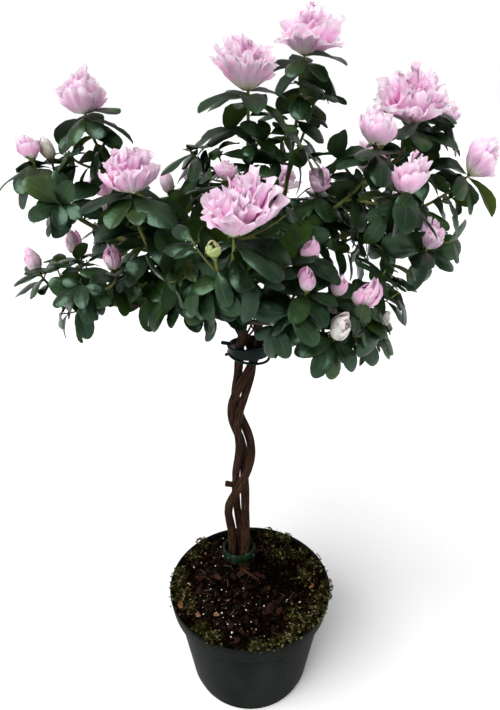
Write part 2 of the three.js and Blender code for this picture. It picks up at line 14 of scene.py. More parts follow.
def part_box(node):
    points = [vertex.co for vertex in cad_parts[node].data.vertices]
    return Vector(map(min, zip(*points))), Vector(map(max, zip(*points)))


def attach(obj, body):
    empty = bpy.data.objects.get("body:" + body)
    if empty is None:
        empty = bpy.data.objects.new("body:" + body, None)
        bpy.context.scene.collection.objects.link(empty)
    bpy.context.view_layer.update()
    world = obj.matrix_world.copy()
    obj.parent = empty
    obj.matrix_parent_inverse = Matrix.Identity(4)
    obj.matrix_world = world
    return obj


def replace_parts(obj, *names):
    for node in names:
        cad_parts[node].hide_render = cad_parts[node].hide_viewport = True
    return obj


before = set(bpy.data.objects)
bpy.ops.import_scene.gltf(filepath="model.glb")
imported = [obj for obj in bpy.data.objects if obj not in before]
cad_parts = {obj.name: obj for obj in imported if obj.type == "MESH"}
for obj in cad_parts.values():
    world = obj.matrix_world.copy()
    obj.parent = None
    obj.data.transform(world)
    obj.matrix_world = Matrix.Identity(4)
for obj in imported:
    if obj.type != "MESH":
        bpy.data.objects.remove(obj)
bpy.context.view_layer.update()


# ------------------------------------------------------------------------------------------ studio
# The plant stands on a wide pale floor before a white backdrop, under one broad soft lamp high on the left.
# The camera looks down on it from just under the height of its crown.

METRES = 0.001
IMAGE_HEIGHT_PIXELS = 710
FOCAL_LENGTH_PIXELS = 580
CAMERA_PLACE = Vector((0, -407.1, 529.3))
CAMERA_PITCH = 24.87  # degrees below level
FLOOR_HALF = 9000
LAMP_FROM = Vector((-0.45, -0.5, 1.0))
LAMP_SOFTNESS = 50  # degrees across
LAMP_STRENGTH = 3.9
BACKDROP_TOP = (0.12, 0.5)  # heights, as shares of the view upwards, between which the backdrop fades
ROOM_ABOVE = 0.42  # the light of the room over the backdrop

def add_object(name, data, finishes=()):
    for material in finishes:
        data.materials.append(material)
    thing = bpy.data.objects.new(name, data)
    bpy.context.scene.collection.objects.link(thing)
    return thing


camera_lens = bpy.data.cameras.new("camera")
camera_lens.sensor_fit = "VERTICAL"
camera_lens.lens = camera_lens.sensor_height * FOCAL_LENGTH_PIXELS / IMAGE_HEIGHT_PIXELS
camera = add_object("camera", camera_lens)
camera.location = CAMERA_PLACE * METRES
camera.rotation_euler = (math.radians(90 - CAMERA_PITCH), 0, 0)
bpy.context.scene.camera = camera
bpy.context.scene.view_settings.view_transform = "Standard"

lamp_light = bpy.data.lights.new("soft_lamp", "SUN")
lamp_light.angle = math.radians(LAMP_SOFTNESS)
lamp_light.energy = LAMP_STRENGTH
lamp = add_object("soft_lamp", lamp_light)
lamp.rotation_euler = (-LAMP_FROM).to_track_quat("-Z", "Y").to_euler()


def feed(owner, socket, value):
    """Sets an input of a node to a value, or links it to another node's output."""
    if isinstance(value, bpy.types.NodeSocket):
        owner.node_tree.links.new(value, socket)
    else:
        socket.default_value = value


def add_node(owner, kind, output, **parts):
    """Adds a node to a material or world and returns one of its outputs. A part in small letters is a
    setting of the node. Any other is an input, which takes a value or another node's output."""
    node = owner.node_tree.nodes.new("ShaderNode" + kind)
    for name, part in parts.items():
        if name.islower():
            setattr(node, name, part)
        else:
            feed(owner, node.inputs[name.replace("_", " ")], part)
    return node.outputs[output]


def ranged(owner, value, low, high, first=0.0, last=1.0, run="LINEAR"):
    """Turns a value between low and high into one between first and last."""
    return add_node(owner, "MapRange", "Result", interpolation_type=run, Value=value,
                    From_Min=low, From_Max=high, To_Min=first, To_Max=last)


room = bpy.data.worlds.new("white_room")
room.use_nodes = True
room_light = room.node_tree.nodes["Background"]
upwards = add_node(room, "SeparateXYZ", "Z", Vector=add_node(room, "TexCoord", "Generated"))
feed(room, room_light.inputs["Color"], (1, 1, 1, 1))
feed(room, room_light.inputs["Strength"], ranged(room, upwards, *BACKDROP_TOP, 1.0, ROOM_ABOVE, "SMOOTHSTEP"))
bpy.context.scene.world = room


def shade(material, **inputs):
    """Sets or links inputs of a material's shader."""
    for name, value in inputs.items():
        feed(material, material.node_tree.nodes["Principled BSDF"].inputs[name.replace("_", " ")], value)


def plain_finish(name, colour, roughness, shine=0.5, **inputs):
    """A material of one colour; inputs are further ones of its shader."""
    material = bpy.data.materials.new(name)
    material.use_nodes = True
    shade(material, Base_Color=(*colour, 1), Roughness=roughness, Specular_IOR_Level=shine, **inputs)
    return material


def object_from(bm, name, material):
    """Puts a bmesh in millimetres into the scene as an object in metres."""
    bmesh.ops.scale(bm, vec=(METRES, METRES, METRES), verts=bm.verts)
    mesh = bpy.data.meshes.new(name)
    bm.to_mesh(mesh)
    bm.free()
    return add_object(name, mesh, [material])


floor_mesh = bmesh.new()
bmesh.ops.create_grid(floor_mesh, x_segments=1, y_segments=1, size=FLOOR_HALF)
object_from(floor_mesh, "floor", plain_finish("floor_white", (0.84, 0.84, 0.84), 0.9))


# --------------------------------------------------------------------------------------------- pot
# A round nursery pot, moulded in thin dark grey-green plastic. Its rim is a tapered band that
# stands out over the body, and a narrower foot ring and four drainage holes are moulded below.

POT_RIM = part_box("pot")[1][0] / METRES
POT_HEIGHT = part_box("pot")[1][2] / METRES
POT_WALL = 1.5
POT_FLOOR = 2
LIP_HEIGHT = 16
LIP_TAPER = 2
LIP_STEP = 6.2
FOOT_RADIUS = 54
FOOT_HEIGHT = 6
BODY_FOOT_RADIUS = 56.4
HOLES = 4
HOLE_RADIUS = 5
HOLE_CIRCLE = 34
POT_SEGMENTS = 144


def arc(centre, radius, first, last, steps=5):
    """Points of an arc in the profile plane, between two angles in degrees."""
    angles = [math.radians(first + (last - first) * i / steps) for i in range(steps + 1)]
    return [(centre[0] + radius * math.cos(a), centre[1] + radius * math.sin(a)) for a in angles]


def turned(profile, segments):
    """A closed shape turned from a profile of (radius, height) points."""
    bm = bmesh.new()
    corners = [bm.verts.new((radius, 0, height)) for radius, height in profile]
    edges = [bm.edges.new(pair) for pair in zip(corners, corners[1:])]
    if profile[0][0] > 0:
        edges.append(bm.edges.new((corners[-1], corners[0])))
    bmesh.ops.spin(bm, geom=corners + edges, cent=(0, 0, 0), axis=(0, 0, 1), angle=2 * math.pi,
                   steps=segments, use_merge=True)
    bmesh.ops.remove_doubles(bm, verts=bm.verts, dist=0.001)
    bmesh.ops.recalc_face_normals(bm, faces=bm.faces)
    return bm


def ride_with_pot(piece):
    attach(piece, "root")
    return piece


def piece_from(bm, name, material):
    """Makes a bmesh in millimetres a smooth piece of the plant."""
    piece = object_from(bm, name, material)
    piece.data.polygons.foreach_set("use_smooth", [True] * len(piece.data.polygons))
    return ride_with_pot(piece)


def polar(bearing, reach, height):
    angle = math.radians(bearing)
    return Vector((reach * math.cos(angle), reach * math.sin(angle), height))


def coordinates(material, source="Object", stretch=(1, 1, 1)):
    """The places on a piece: its own, those of its map, or those kept in a layer of its corners."""
    if source in ("Object", "UV"):
        reading = add_node(material, "TexCoord", source)
    else:
        reading = add_node(material, "Attribute", "Vector", attribute_name=source)
    return add_node(material, "Mapping", "Vector", Vector=reading, Scale=stretch)


def clouds(material, scale, detail, source="Object", stretch=(1, 1, 1)):
    """Noise over the places on a piece."""
    return add_node(material, "TexNoise", "Fac", Vector=coordinates(material, source, stretch),
                    Scale=scale, Detail=detail)


def ramp_of(material, share, stops):
    """The colour at a share of the way through stops, which are (position, colour) pairs."""
    colour_at = add_node(material, "ValToRGB", "Color", Fac=share)
    elements = colour_at.node.color_ramp.elements
    for element, (position, colour) in zip(elements, stops[:2]):
        element.position = position
        element.color = (*colour, 1)
    for position, colour in stops[2:]:
        elements.new(position).color = (*colour, 1)
    return colour_at


def mottle(material, scale, stops, detail=4.0, source="Object", stretch=(1, 1, 1)):
    """Colours a material by noise, through stops."""
    cloud = clouds(material, scale, detail, source, stretch)
    shade(material, Base_Color=ramp_of(material, cloud, stops))


def roughen(material, scale, height, detail=6.0, source="Object"):
    """Gives a material fine relief from noise; height is in millimetres."""
    cloud = clouds(material, scale, detail, source)
    shade(material, Normal=add_node(material, "Bump", "Normal", Strength=1.0, Distance=height * METRES,
                                    Height=cloud))


def grainy_finish(name, colour, roughness, shine=0.5):
    """A material whose colour wavers finely, darker and lighter, round one colour."""
    material = plain_finish(name, colour, roughness, shine)
    mottle(material, 420, [
        (0.35, [0.6 * part for part in colour]), (0.65, [1.4 * part for part in colour])])
    return material


def lay_over(material, share, colour):
    """Lays a colour over a material's own; share is how much of it shows, from another node."""
    base = material.node_tree.nodes["Principled BSDF"].inputs["Base Color"]
    blend = material.node_tree.nodes.new("ShaderNodeMix")
    blend.data_type = "RGBA"
    factor, first, second, result = blend.inputs[0], blend.inputs[6], blend.inputs[7], blend.outputs[2]
    feed(material, factor, share)
    feed(material, first, base.links[0].from_socket)
    feed(material, second, (*colour, 1))
    feed(material, base, result)

under_lip = POT_HEIGHT - LIP_HEIGHT
neck = POT_RIM - LIP_STEP
lip_foot = POT_RIM - LIP_TAPER
rim_edge = 0.75
pot_outline = [
    (0, 0), (FOOT_RADIUS - 3, 0), *arc((FOOT_RADIUS - 1, 1), 1, -90, 0, 3),
    (FOOT_RADIUS, FOOT_HEIGHT), *arc((BODY_FOOT_RADIUS - 1, FOOT_HEIGHT + 1.6), 1, -80, 0, 3),
    *[(BODY_FOOT_RADIUS + (neck - BODY_FOOT_RADIUS) * i / 6,
       FOOT_HEIGHT + 2 + (under_lip - FOOT_HEIGHT - 4) * i / 6) for i in range(1, 7)],
    *arc((neck + 1.6, under_lip - 1.6), 1.6, 180, 90, 3),
    *arc((lip_foot - 0.9, under_lip + 0.9), 0.9, -90, 0, 3),
    *[(lip_foot + LIP_TAPER * i / 3, under_lip + 1 + (LIP_HEIGHT - 3) * i / 3) for i in range(1, 4)],
    *arc((POT_RIM - rim_edge, POT_HEIGHT - rim_edge), rim_edge, 0, 180, 6),
    (lip_foot - POT_WALL, under_lip + 4), (neck - POT_WALL, under_lip - 2),
    (BODY_FOOT_RADIUS - POT_WALL, FOOT_HEIGHT + 2), (FOOT_RADIUS - POT_WALL, POT_FLOOR), (0, POT_FLOOR)]

pot_plastic = plain_finish("pot_plastic", (0.005, 0.0068, 0.006), 0.45, 0.015)
mottle(pot_plastic, 42, [
    (0.3, (0.0035, 0.0048, 0.004)), (0.55, (0.007, 0.009, 0.0078)), (0.75, (0.012, 0.0145, 0.013))],
    stretch=(1, 1, 0.35))
roughen(pot_plastic, 900, 0.05)
scuffs = clouds(pot_plastic, 140, 1.5, stretch=(1, 1, 0.8))
lay_over(pot_plastic, ranged(pot_plastic, scuffs, 0.7, 0.74, 0.0, 0.85), (0.001, 0.001, 0.001))
pot = piece_from(turned(pot_outline, POT_SEGMENTS), "nursery_pot", pot_plastic)

drills = bmesh.new()
for hole in range(HOLES):
    spot = polar((hole + 0.5) * 360 / HOLES, HOLE_CIRCLE, POT_FLOOR / 2)
    bmesh.ops.create_cone(drills, cap_ends=True, segments=32, radius1=HOLE_RADIUS, radius2=HOLE_RADIUS,
                          depth=3 * POT_FLOOR, matrix=Matrix.Translation(spot))
drill = object_from(drills, "drainage_drill", pot_plastic)
cutter = pot.modifiers.new("drainage_holes", "BOOLEAN")
cutter.object = drill
cutter.solver = "EXACT"
holed = bpy.data.meshes.new_from_object(pot.evaluated_get(bpy.context.evaluated_depsgraph_get()))
pot.modifiers.clear()
pot.data = holed
bpy.data.objects.remove(drill)
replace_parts(pot, "pot")


# -------------------------------------------------------------------------------------------- soil
# A root ball of dark moist peat that fills the pot to just under its rim. White perlite grains,
# bark chips, straw and fallen leaves lie on it, and moss grows round the edge.

SOIL_LEVEL = 106
MOUND_RADII = (38, 60)  # the peat is mounded round the stems and falls away between these
MOUND_FALL = 4.6
SOIL_EDGE_RISE = 1.2
SOIL_RADIUS = 72.2
SOIL_GRID = 150
SOIL_SKIRT = 12
SOIL_LUMPS = ((1.5, 0.05, 3.1), (0.9, 0.19, 9.4), (0.45, 0.6, 1.7))  # height, waves in a millimetre, seed
HOLLOW = ((22, 8), 20, 3.2)  # the hollow beside the stems, a real dip whose black crumbs and bare peat are painted shade: place, radius, depth


def smooth_step(value, low, high):
    share = min(max((value - low) / (high - low), 0), 1)
    return share * share * (3 - 2 * share)


def in_hollow(x, y, swell=1):
    """How far a place lies in the hollow, from 0 to 1."""
    (middle_x, middle_y), wide, _ = HOLLOW
    return math.exp(-((x - middle_x) ** 2 + (y - middle_y) ** 2) / (swell * wide) ** 2)


def soil_height(x, y):
    """The height of the peat's lumpy surface."""
    reach = math.hypot(x, y) / SOIL_RADIUS
    lumps = sum(tall * noise.noise(Vector((x * waves, y * waves, seed))) for tall, waves, seed in SOIL_LUMPS)
    fall = MOUND_FALL * smooth_step(reach * SOIL_RADIUS, *MOUND_RADII)
    edge = SOIL_EDGE_RISE * reach ** 8
    return SOIL_LEVEL - fall + edge + lumps * (1 - reach ** 12) - HOLLOW[2] * in_hollow(x, y)


soil_mesh = bmesh.new()
bmesh.ops.create_grid(soil_mesh, x_segments=SOIL_GRID, y_segments=SOIL_GRID, size=1)
for corner in soil_mesh.verts:
    x, y = corner.co.x, corner.co.y
    round_x = SOIL_RADIUS * x * math.sqrt(1 - y * y / 2)
    round_y = SOIL_RADIUS * y * math.sqrt(1 - x * x / 2)
    corner.co = Vector((round_x, round_y, soil_height(round_x, round_y)))
border = [edge for edge in soil_mesh.edges if edge.is_boundary]
skirt = bmesh.ops.extrude_edge_only(soil_mesh, edges=border)["geom"]
for corner in [part for part in skirt if isinstance(part, bmesh.types.BMVert)]:
    corner.co = Vector((corner.co.x * 0.97, corner.co.y * 0.97, SOIL_LEVEL - SOIL_SKIRT))
bmesh.ops.holes_fill(soil_mesh, edges=[edge for edge in soil_mesh.edges if edge.is_boundary])
bmesh.ops.recalc_face_normals(soil_mesh, faces=soil_mesh.faces)

peat = plain_finish("peat", (0.003, 0.002, 0.001), 0.95, 0)
mottle(peat, 260, [
    (0.35, (0.0008, 0.0005, 0.0004)), (0.55, (0.003, 0.0019, 0.0012)), (0.8, (0.015, 0.0085, 0.0045))], 8)
roughen(peat, 700, 1.2)
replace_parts(piece_from(soil_mesh, "peat_surface", peat), "soil")


def template_of(bm):
    """The corners and faces of a bmesh, for copying."""
    bm.verts.index_update()
    corners = np.array([corner.co for corner in bm.verts])
    faces = [[corner.index for corner in face.verts] for face in bm.faces]
    bm.free()
    return corners, faces


def crumb(seed, roughness=0.28):
    """One irregular grain about 1 mm across."""
    bm = bmesh.new()
    bmesh.ops.create_icosphere(bm, subdivisions=1, radius=0.5)
    for corner in bm.verts:
        corner.co *= 1 + roughness * noise.noise(corner.co * 3 + Vector((seed, 0, 0))) * 2
    return template_of(bm)


def chip():
    """One splintered flake of bark, 1 mm long."""
    bm = bmesh.new()
    bmesh.ops.create_cube(bm, size=1)
    bmesh.ops.bevel(bm, geom=bm.edges[:], offset=0.12, affect="EDGES", segments=1, profile=0.5, material=-1)
    for corner in bm.verts:
        corner.co.y *= 0.55 * (1 - 0.5 * corner.co.x)
        corner.co.z = corner.co.z * 0.16 + 0.12 * corner.co.x * corner.co.y
    return template_of(bm)


def straw():
    """One bent fibre, 1 mm long."""
    bm = bmesh.new()
    bmesh.ops.create_cone(bm, cap_ends=True, segments=4, radius1=0.03, radius2=0.018, depth=1,
                          matrix=Matrix.Rotation(math.pi / 2, 4, "Y"))
    middle = [edge for edge in bm.edges if abs(edge.verts[0].co.x - edge.verts[1].co.x) > 0.5]
    bmesh.ops.subdivide_edges(bm, edges=middle, cuts=2, use_grid_fill=True)
    for corner in bm.verts:
        corner.co.z += 0.16 * (0.25 - corner.co.x ** 2)
    return template_of(bm)


def joined_piece(name, corners, faces, finish_numbers, finishes, smooth):
    """Makes corners in millimetres and faces a piece of the plant; each face has the number of its finish."""
    mesh = bpy.data.meshes.new(name)
    mesh.from_pydata(corners * METRES, [], faces)
    mesh.polygons.foreach_set("material_index", finish_numbers)
    mesh.polygons.foreach_set("use_smooth", [smooth] * len(faces))
    mesh.update()
    return ride_with_pot(add_object(name, mesh, finishes))


def strewn_piece(name, templates, spots, sizes, turns, kinds, finishes, smooth=False):
    """Joins turned and sized copies of the templates, each in the finish of its own kind."""
    corners, faces, kinds_of_faces, count = [], [], [], 0
    for number, (spot, size, turn, kind) in enumerate(zip(spots, sizes, turns, kinds)):
        shape, outline = templates[number % len(templates)]
        corners.append((shape * size) @ np.array(turn).T + np.array(spot))
        faces.extend([[count + corner for corner in face] for face in outline])
        kinds_of_faces.extend([kind] * len(outline))
        count += len(shape)
    joined_piece(name, np.concatenate(corners), faces, kinds_of_faces, finishes, smooth)


def sized_and_turned(chance, spots, sizes, lean, shape=(1, 1, 1), power=1):
    """For each spot a random size, stretched to a shape, and a turn that leans from level by up to lean."""
    grown = [chance.uniform(*sizes) ** power * np.array(shape) for _ in spots]
    turns = []
    for _ in spots:
        spin = Matrix.Rotation(chance.uniform(0, 2 * math.pi), 3, "Z")
        turns.append(Matrix.Rotation(math.radians(chance.uniform(-lean, lean)), 3, "X") @ spin)
    return grown, turns


def on_soil(chance, count, reach, keep=lambda x, y: 1.0, sunk=0.0):
    """Random places on the peat; keep gives the chance that a place is used."""
    spots = []
    while len(spots) < count:
        x, y = chance.uniform(-reach, reach, 2)
        if math.hypot(x, y) < reach and chance.random() < keep(x, y):
            spots.append(Vector((x, y, soil_height(x, y) - sunk)))
    return spots


# Perlite, chips and straw mostly keep out of the hollow, and the crumbs in it are black, as painted shade.
def away_from_hollow(x, y):
    return 1 - 0.97 * in_hollow(x, y, 1.2)


def perlite_strip(x, y):
    """Perlite lies mostly at the front and the front left."""
    return away_from_hollow(x, y) * (1.0 if y < -8 and x < 34 else 0.3)


CRUMBS = 3200
crumb_chance = np.random.default_rng(4)
crumb_shapes = [crumb(seed) for seed in range(5)]
peat_tones = [
    grainy_finish("crumb_black", (0.001, 0.0007, 0.0005), 0.95, 0),
    grainy_finish("crumb_brown", (0.007, 0.004, 0.002), 0.95, 0),
    grainy_finish("crumb_tan", (0.032, 0.019, 0.0095), 0.9, 0)]
crumb_spots = on_soil(crumb_chance, CRUMBS, 71, sunk=0.2)
# In the hollow the crumbs are all black: painted shade.
crumb_kinds = [
    int(crumb_chance.choice(3, p=[0.45, 0.42, 0.13]) * (crumb_chance.random() < away_from_hollow(*spot.xy)))
    for spot in crumb_spots]
strewn_piece(
    "peat_crumbs", crumb_shapes, crumb_spots,
    *sized_and_turned(crumb_chance, crumb_spots, (0.8, 2.6), 90, (1, 1, 0.8)), crumb_kinds, peat_tones)

PERLITE = 95
perlite_chance = np.random.default_rng(9)
perlite_white = grainy_finish("perlite_white", (0.5, 0.48, 0.43), 0.8)
perlite_spots = on_soil(perlite_chance, PERLITE, 66, perlite_strip, -0.5)
strewn_piece(
    "perlite_grains", crumb_shapes, perlite_spots,
    *sized_and_turned(perlite_chance, perlite_spots, (0.6, 1.5), 90, (1, 0.9, 0.85), 2),
    [0] * PERLITE, [perlite_white], smooth=True)

CHIPS = 210
chip_chance = np.random.default_rng(12)
chip_tones = [
    grainy_finish("chip_dark", (0.009, 0.0048, 0.0028), 0.85, 0.02),
    grainy_finish("chip_red", (0.022, 0.0095, 0.005), 0.8, 0.02),
    grainy_finish("chip_orange", (0.17, 0.07, 0.024), 0.8)]
chip_spots = on_soil(chip_chance, CHIPS, 68, away_from_hollow, -0.7)
strewn_piece(
    "bark_chips", [chip()], chip_spots, *sized_and_turned(chip_chance, chip_spots, (2.5, 7.5), 28),
    list(chip_chance.choice(3, CHIPS, p=[0.78, 0.185, 0.035])), chip_tones)

STRAWS = 64
straw_chance = np.random.default_rng(15)
straw_tone = grainy_finish("straw", (0.075, 0.05, 0.024), 0.8)
straw_spots = on_soil(straw_chance, STRAWS, 66, away_from_hollow, -0.9)
strewn_piece(
    "straw_fibres", [straw()], straw_spots, *sized_and_turned(straw_chance, straw_spots, (4, 10), 25),
    [0] * STRAWS, [straw_tone], smooth=True)

# Moss tufts: bearing, reach, half width, height, share of fresh green shoots.
MOSS_TUFTS = [
    (354, 73, 12, 5.5, 0.45), (344, 70, 11, 5.0, 0.5), (332, 69, 11, 4.5, 0.4), (318, 69, 12, 5.0, 0.5),
    (306, 66, 10, 5.0, 0.6), (296, 70, 10, 5.5, 0.55), (284, 73, 10, 5.5, 0.6), (274, 69, 8, 3.5, 0.4),
    (244, 69, 9, 4.5, 0.5), (232, 67, 9, 4.5, 0.45), (198, 64, 13, 5.5, 0.05), (208, 60, 11, 4.5, 0.1),
    (186, 68, 9, 4.0, 0.3), (170, 68, 9, 3.5, 0.4), (134, 71, 8, 4.5, 0.7), (148, 66, 8, 3.0, 0.3),
    (72, 67, 10, 4.5, 0.6), (58, 68, 9, 3.5, 0.5), (96, 64, 9, 3.0, 0.5), (20, 67, 11, 4.5, 0.5),
    (36, 62, 10, 3.0, 0.6), (52, 44, 12, 2.5, 0.35), (8, 54, 11, 3.0, 0.4), (318, 54, 10, 3.0, 0.4)]
MOSS_SHOOTS = 115  # in each tuft
MOSS_OVERHANG = 2.4  # past the rim
MOSS_DRY = [0.5, 0.3, 0.13, 0.07]  # the share of each tone of moss where it is dry
MOSS_SPIKES = 6
GOLDEN_ANGLE = 137.5  # from each leaf or spike to the next


def moss_shoot():
    """One feathery moss shoot, 1 mm tall: spikes that stand out round a short stalk."""
    bm = bmesh.new()
    out = Matrix.Translation((0, 0, 0.3))
    for spike in range(MOSS_SPIKES):
        lean = Matrix.Rotation(math.radians(30 + 11 * spike), 4, "X")
        turn = Matrix.Rotation(math.radians(GOLDEN_ANGLE * spike), 4, "Z")
        rise = Matrix.Translation((0, 0, 0.08 + 0.1 * spike))
        bmesh.ops.create_cone(bm, cap_ends=True, segments=3, radius1=0.09, radius2=0.015, depth=0.6,
                              matrix=rise @ turn @ lean @ out)
    return template_of(bm)


moss_chance = np.random.default_rng(21)
moss_tones = [
    grainy_finish("moss_brown", (0.013, 0.0085, 0.0035), 0.95, 0),
    grainy_finish("moss_olive", (0.019, 0.018, 0.005), 0.95, 0),
    grainy_finish("moss_green", (0.05, 0.052, 0.013), 0.9, 0.02),
    grainy_finish("moss_straw", (0.2, 0.18, 0.085), 0.9, 0.02)]
moss_spots, moss_kinds = [], []
for bearing, reach, half, tall, fresh in MOSS_TUFTS:
    middle = polar(bearing, reach, 0)
    for _ in range(MOSS_SHOOTS):
        off = moss_chance.normal(0, 0.45, 2) * half
        share = min(math.hypot(*off) / half, 1)
        x, y = middle.x + off[0], middle.y + off[1]
        over_rim = math.hypot(x, y) > POT_RIM - 2
        ground = POT_HEIGHT - 0.6 if over_rim else soil_height(x, y)
        drop = max(math.hypot(x, y) - POT_RIM, 0)
        if drop > MOSS_OVERHANG:
            continue
        moss_spots.append(Vector((x, y, ground + tall * (1 - share ** 2) * 0.7 - 0.6 * drop)))
        patch = 0.5 + 1.2 * noise.noise(Vector((0.22 * x, 0.22 * y, 5.0)))
        dry = moss_chance.random() > patch
        shares = MOSS_DRY if dry else [0.1, 0.42 - 0.1 * fresh, 0.3 + 0.1 * fresh, 0.18]
        moss_kinds.append(int(moss_chance.choice(len(moss_tones), p=shares)))
strewn_piece(
    "moss", [moss_shoot()], moss_spots, *sized_and_turned(moss_chance, moss_spots, (1.7, 3.4), 55),
    moss_kinds, moss_tones)


# ------------------------------------------------------------------------------------------- trunk
# Three woody stems of one young plant, wound loosely round each other while they grew.
# Their bark is reddish brown and splits lengthwise into fine fibres.

TRUNK_TOP = 362
SWAY = (-10.5, -10.5, -11.3, -9.5, -5.2, -9, -5, -2)  # of the whole trunk to +X, at even steps up it
BEHIND = (24, 21, 16, 11, 6, 2, 0, 0)  # and to +Y
TRUNK_FLARE = 0.3
FLARE_SHARE = 0.12
TRUNK_TAPER = 0.2
STEM_FOOT = SOIL_LEVEL - 6
STEMS = [  # name, radius, and bearings and reaches from the trunk's middle line at even steps up it
    ("stem_leading", 4, (323, 339, 366, 408, 469, 547, 637, 755), (6, 6.8, 7, 6.7, 6.9, 6.1, 8, 9.5)),
    ("stem_second", 3.9, (166, 152, 195, 283, 378, 462, 547, 605), (6.2, 7.5, 8.6, 8, 6.3, 5.9, 4.5, 8.5)),
    ("stem_third", 3.6, (74, 79, 101, 142, 198, 271, 352, 480), (7.2, 6.7, 5.1, 3.8, 4.1, 5.1, 6, 8.5))]
STUB_HEIGHT, STUB_BEARING, STUB_LENGTH, STUB_RADIUS = 205, 190, 9, 2.3
def along_trunk(row, height):
    """A value of an evenly spaced row at a height, run smoothly through its neighbours."""
    last = len(row) - 1
    at = min(max((height - SOIL_LEVEL) / (TRUNK_TOP - SOIL_LEVEL), 0), 1) * last
    low = min(int(at), last - 1)
    before, start, end, after = (row[min(max(low + step, 0), last)] for step in (-1, 0, 1, 2))
    share = at - low
    leave, arrive = (end - before) / 2, (after - start) / 2
    return (start + leave * share + (3 * (end - start) - 2 * leave - arrive) * share ** 2
            + (2 * (start - end) + leave + arrive) * share ** 3)


def stem_point(stem, height):
    _, _, bearings, spreads = stem
    return polar(along_trunk(bearings, height), along_trunk(spreads, height), height) + Vector(
        (along_trunk(SWAY, height), along_trunk(BEHIND, height), 0))


class Limb:
    """The middle line of a stem, bough or twig, read by the share of its length."""

    def __init__(self, points):
        self.points = points
        self.marks = [0.0]
        for before, after in zip(points, points[1:]):
            self.marks.append(self.marks[-1] + (after - before).length)
        self.length = self.marks[-1]

    def at(self, share):
        reach = min(max(share, 0.0), 1.0) * self.length
        after = min(max(bisect.bisect_left(self.marks, reach), 1), len(self.marks) - 1)
        low, high = self.marks[after - 1], self.marks[after]
        return self.points[after - 1].lerp(self.points[after], (reach - low) / (high - low))

    def heading(self, share):
        return (self.at(share + 0.015) - self.at(share - 0.015)).normalized()

    def between(self, start, end, steps=32):
        return Limb([self.at(start + (end - start) * i / steps) for i in range(steps + 1)])


def add_tube(bm, limb, radius_at, sides, rings, relief=None):
    """Adds a round limb to a bmesh. Relief gives the bark's height at an angle and a run along it."""
    grain = bm.verts.layers.float_vector.get("grain") or bm.verts.layers.float_vector.new("grain")
    across = limb.heading(0).orthogonal().normalized()
    sweep = []
    for ring in range(rings + 1):
        onward = limb.heading(ring / rings)
        across = (across - onward * across.dot(onward)).normalized()
        sweep.append((limb.at(ring / rings), across.copy(), onward.cross(across)))
    skin = bmesh.ops.create_grid(bm, x_segments=sides, y_segments=rings, size=0.5)["verts"]
    for corner in skin:
        share = corner.co.y + 0.5
        angle = 2 * math.pi * (corner.co.x + 0.5)
        run = share * limb.length
        middle, side, front = sweep[round(share * rings)]
        radius = radius_at(share) + (relief(angle, run) if relief else 0)
        corner[grain] = Vector((3 * math.cos(angle), 3 * math.sin(angle), 0.05 * run))
        corner.co = middle + (side * math.cos(angle) + front * math.sin(angle)) * radius
    bmesh.ops.remove_doubles(bm, verts=skin, dist=0.002)


def close_tubes(bm):
    bmesh.ops.holes_fill(bm, edges=[edge for edge in bm.edges if edge.is_boundary])
    bmesh.ops.recalc_face_normals(bm, faces=bm.faces)


def bark_relief(seed, depth):
    """Lengthwise fibres, with broader swellings under them."""
    def height(angle, run):
        round_x, round_y = math.cos(angle), math.sin(angle)
        fibres = noise.noise(Vector((4.5 * round_x, 4.5 * round_y, 0.035 * run + seed)))
        threads = noise.noise(Vector((9 * round_x, 9 * round_y, 0.09 * run + seed)))
        swelling = noise.noise(Vector((round_x, round_y, 0.05 * run + seed)))
        return depth * (fibres - 0.5 * abs(threads) + 0.8 * swelling)
    return height


def tapered(first, last):
    """A radius that runs evenly from first at a limb's root to last at its tip."""
    return lambda share: first + (last - first) * share


bark = plain_finish("bark", (0.06, 0.03, 0.018), 0.8, 0.08)
mottle(bark, 2.1, [
    (0.32, (0.003, 0.0016, 0.001)), (0.48, (0.019, 0.0085, 0.0045)), (0.62, (0.06, 0.026, 0.014)),
    (0.8, (0.12, 0.064, 0.04))], 7, "grain")
roughen(bark, 6, 0.6, 8, "grain")
for number, stem in enumerate(STEMS):
    name, radius = stem[:2]
    line = Limb([stem_point(stem, STEM_FOOT + (TRUNK_TOP + 2 - STEM_FOOT) * i / 120) for i in range(121)])

    def flared(share):
        flare = TRUNK_FLARE * (1 - smooth_step(share, 0, FLARE_SHARE))
        return radius * (1.02 - TRUNK_TAPER * share + flare)

    stem_mesh = bmesh.new()
    add_tube(stem_mesh, line, flared, 30, 260, bark_relief(7.3 * number, 0.55))
    if name == "stem_third":
        root = stem_point(stem, STUB_HEIGHT)
        stub = Limb([root, root + polar(STUB_BEARING, 1, 0.3) * STUB_LENGTH])
        add_tube(stem_mesh, stub, tapered(STUB_RADIUS, 1.15 * STUB_RADIUS), 16, 8, bark_relief(5, 0.3))
    close_tubes(stem_mesh)
    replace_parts(piece_from(stem_mesh, "bark_of_" + name, bark), name)


# One root shows at the foot of the stems, where it bends down into the peat.
SURFACE_ROOT = [(-9, 14, 1.5), (-4, 9, 2.4), (2, 5, 1.4), (8, 2, -1.5)]  # x, y and height over the peat
root_line = Limb([Vector((x, y, SOIL_LEVEL + over)) for x, y, over in SURFACE_ROOT])
root_mesh = bmesh.new()
add_tube(root_mesh, root_line, tapered(1.9, 1.2), 12, 24, bark_relief(31, 0.4))
close_tubes(root_mesh)
piece_from(root_mesh, "surface_root", bark)


# -------------------------------------------------------------------------------- tie and clip
# A dark green plastic tie holds the three stems together under the crown. At their foot sits a
# ragged green plastic clip, left over from when the young plant was staked.

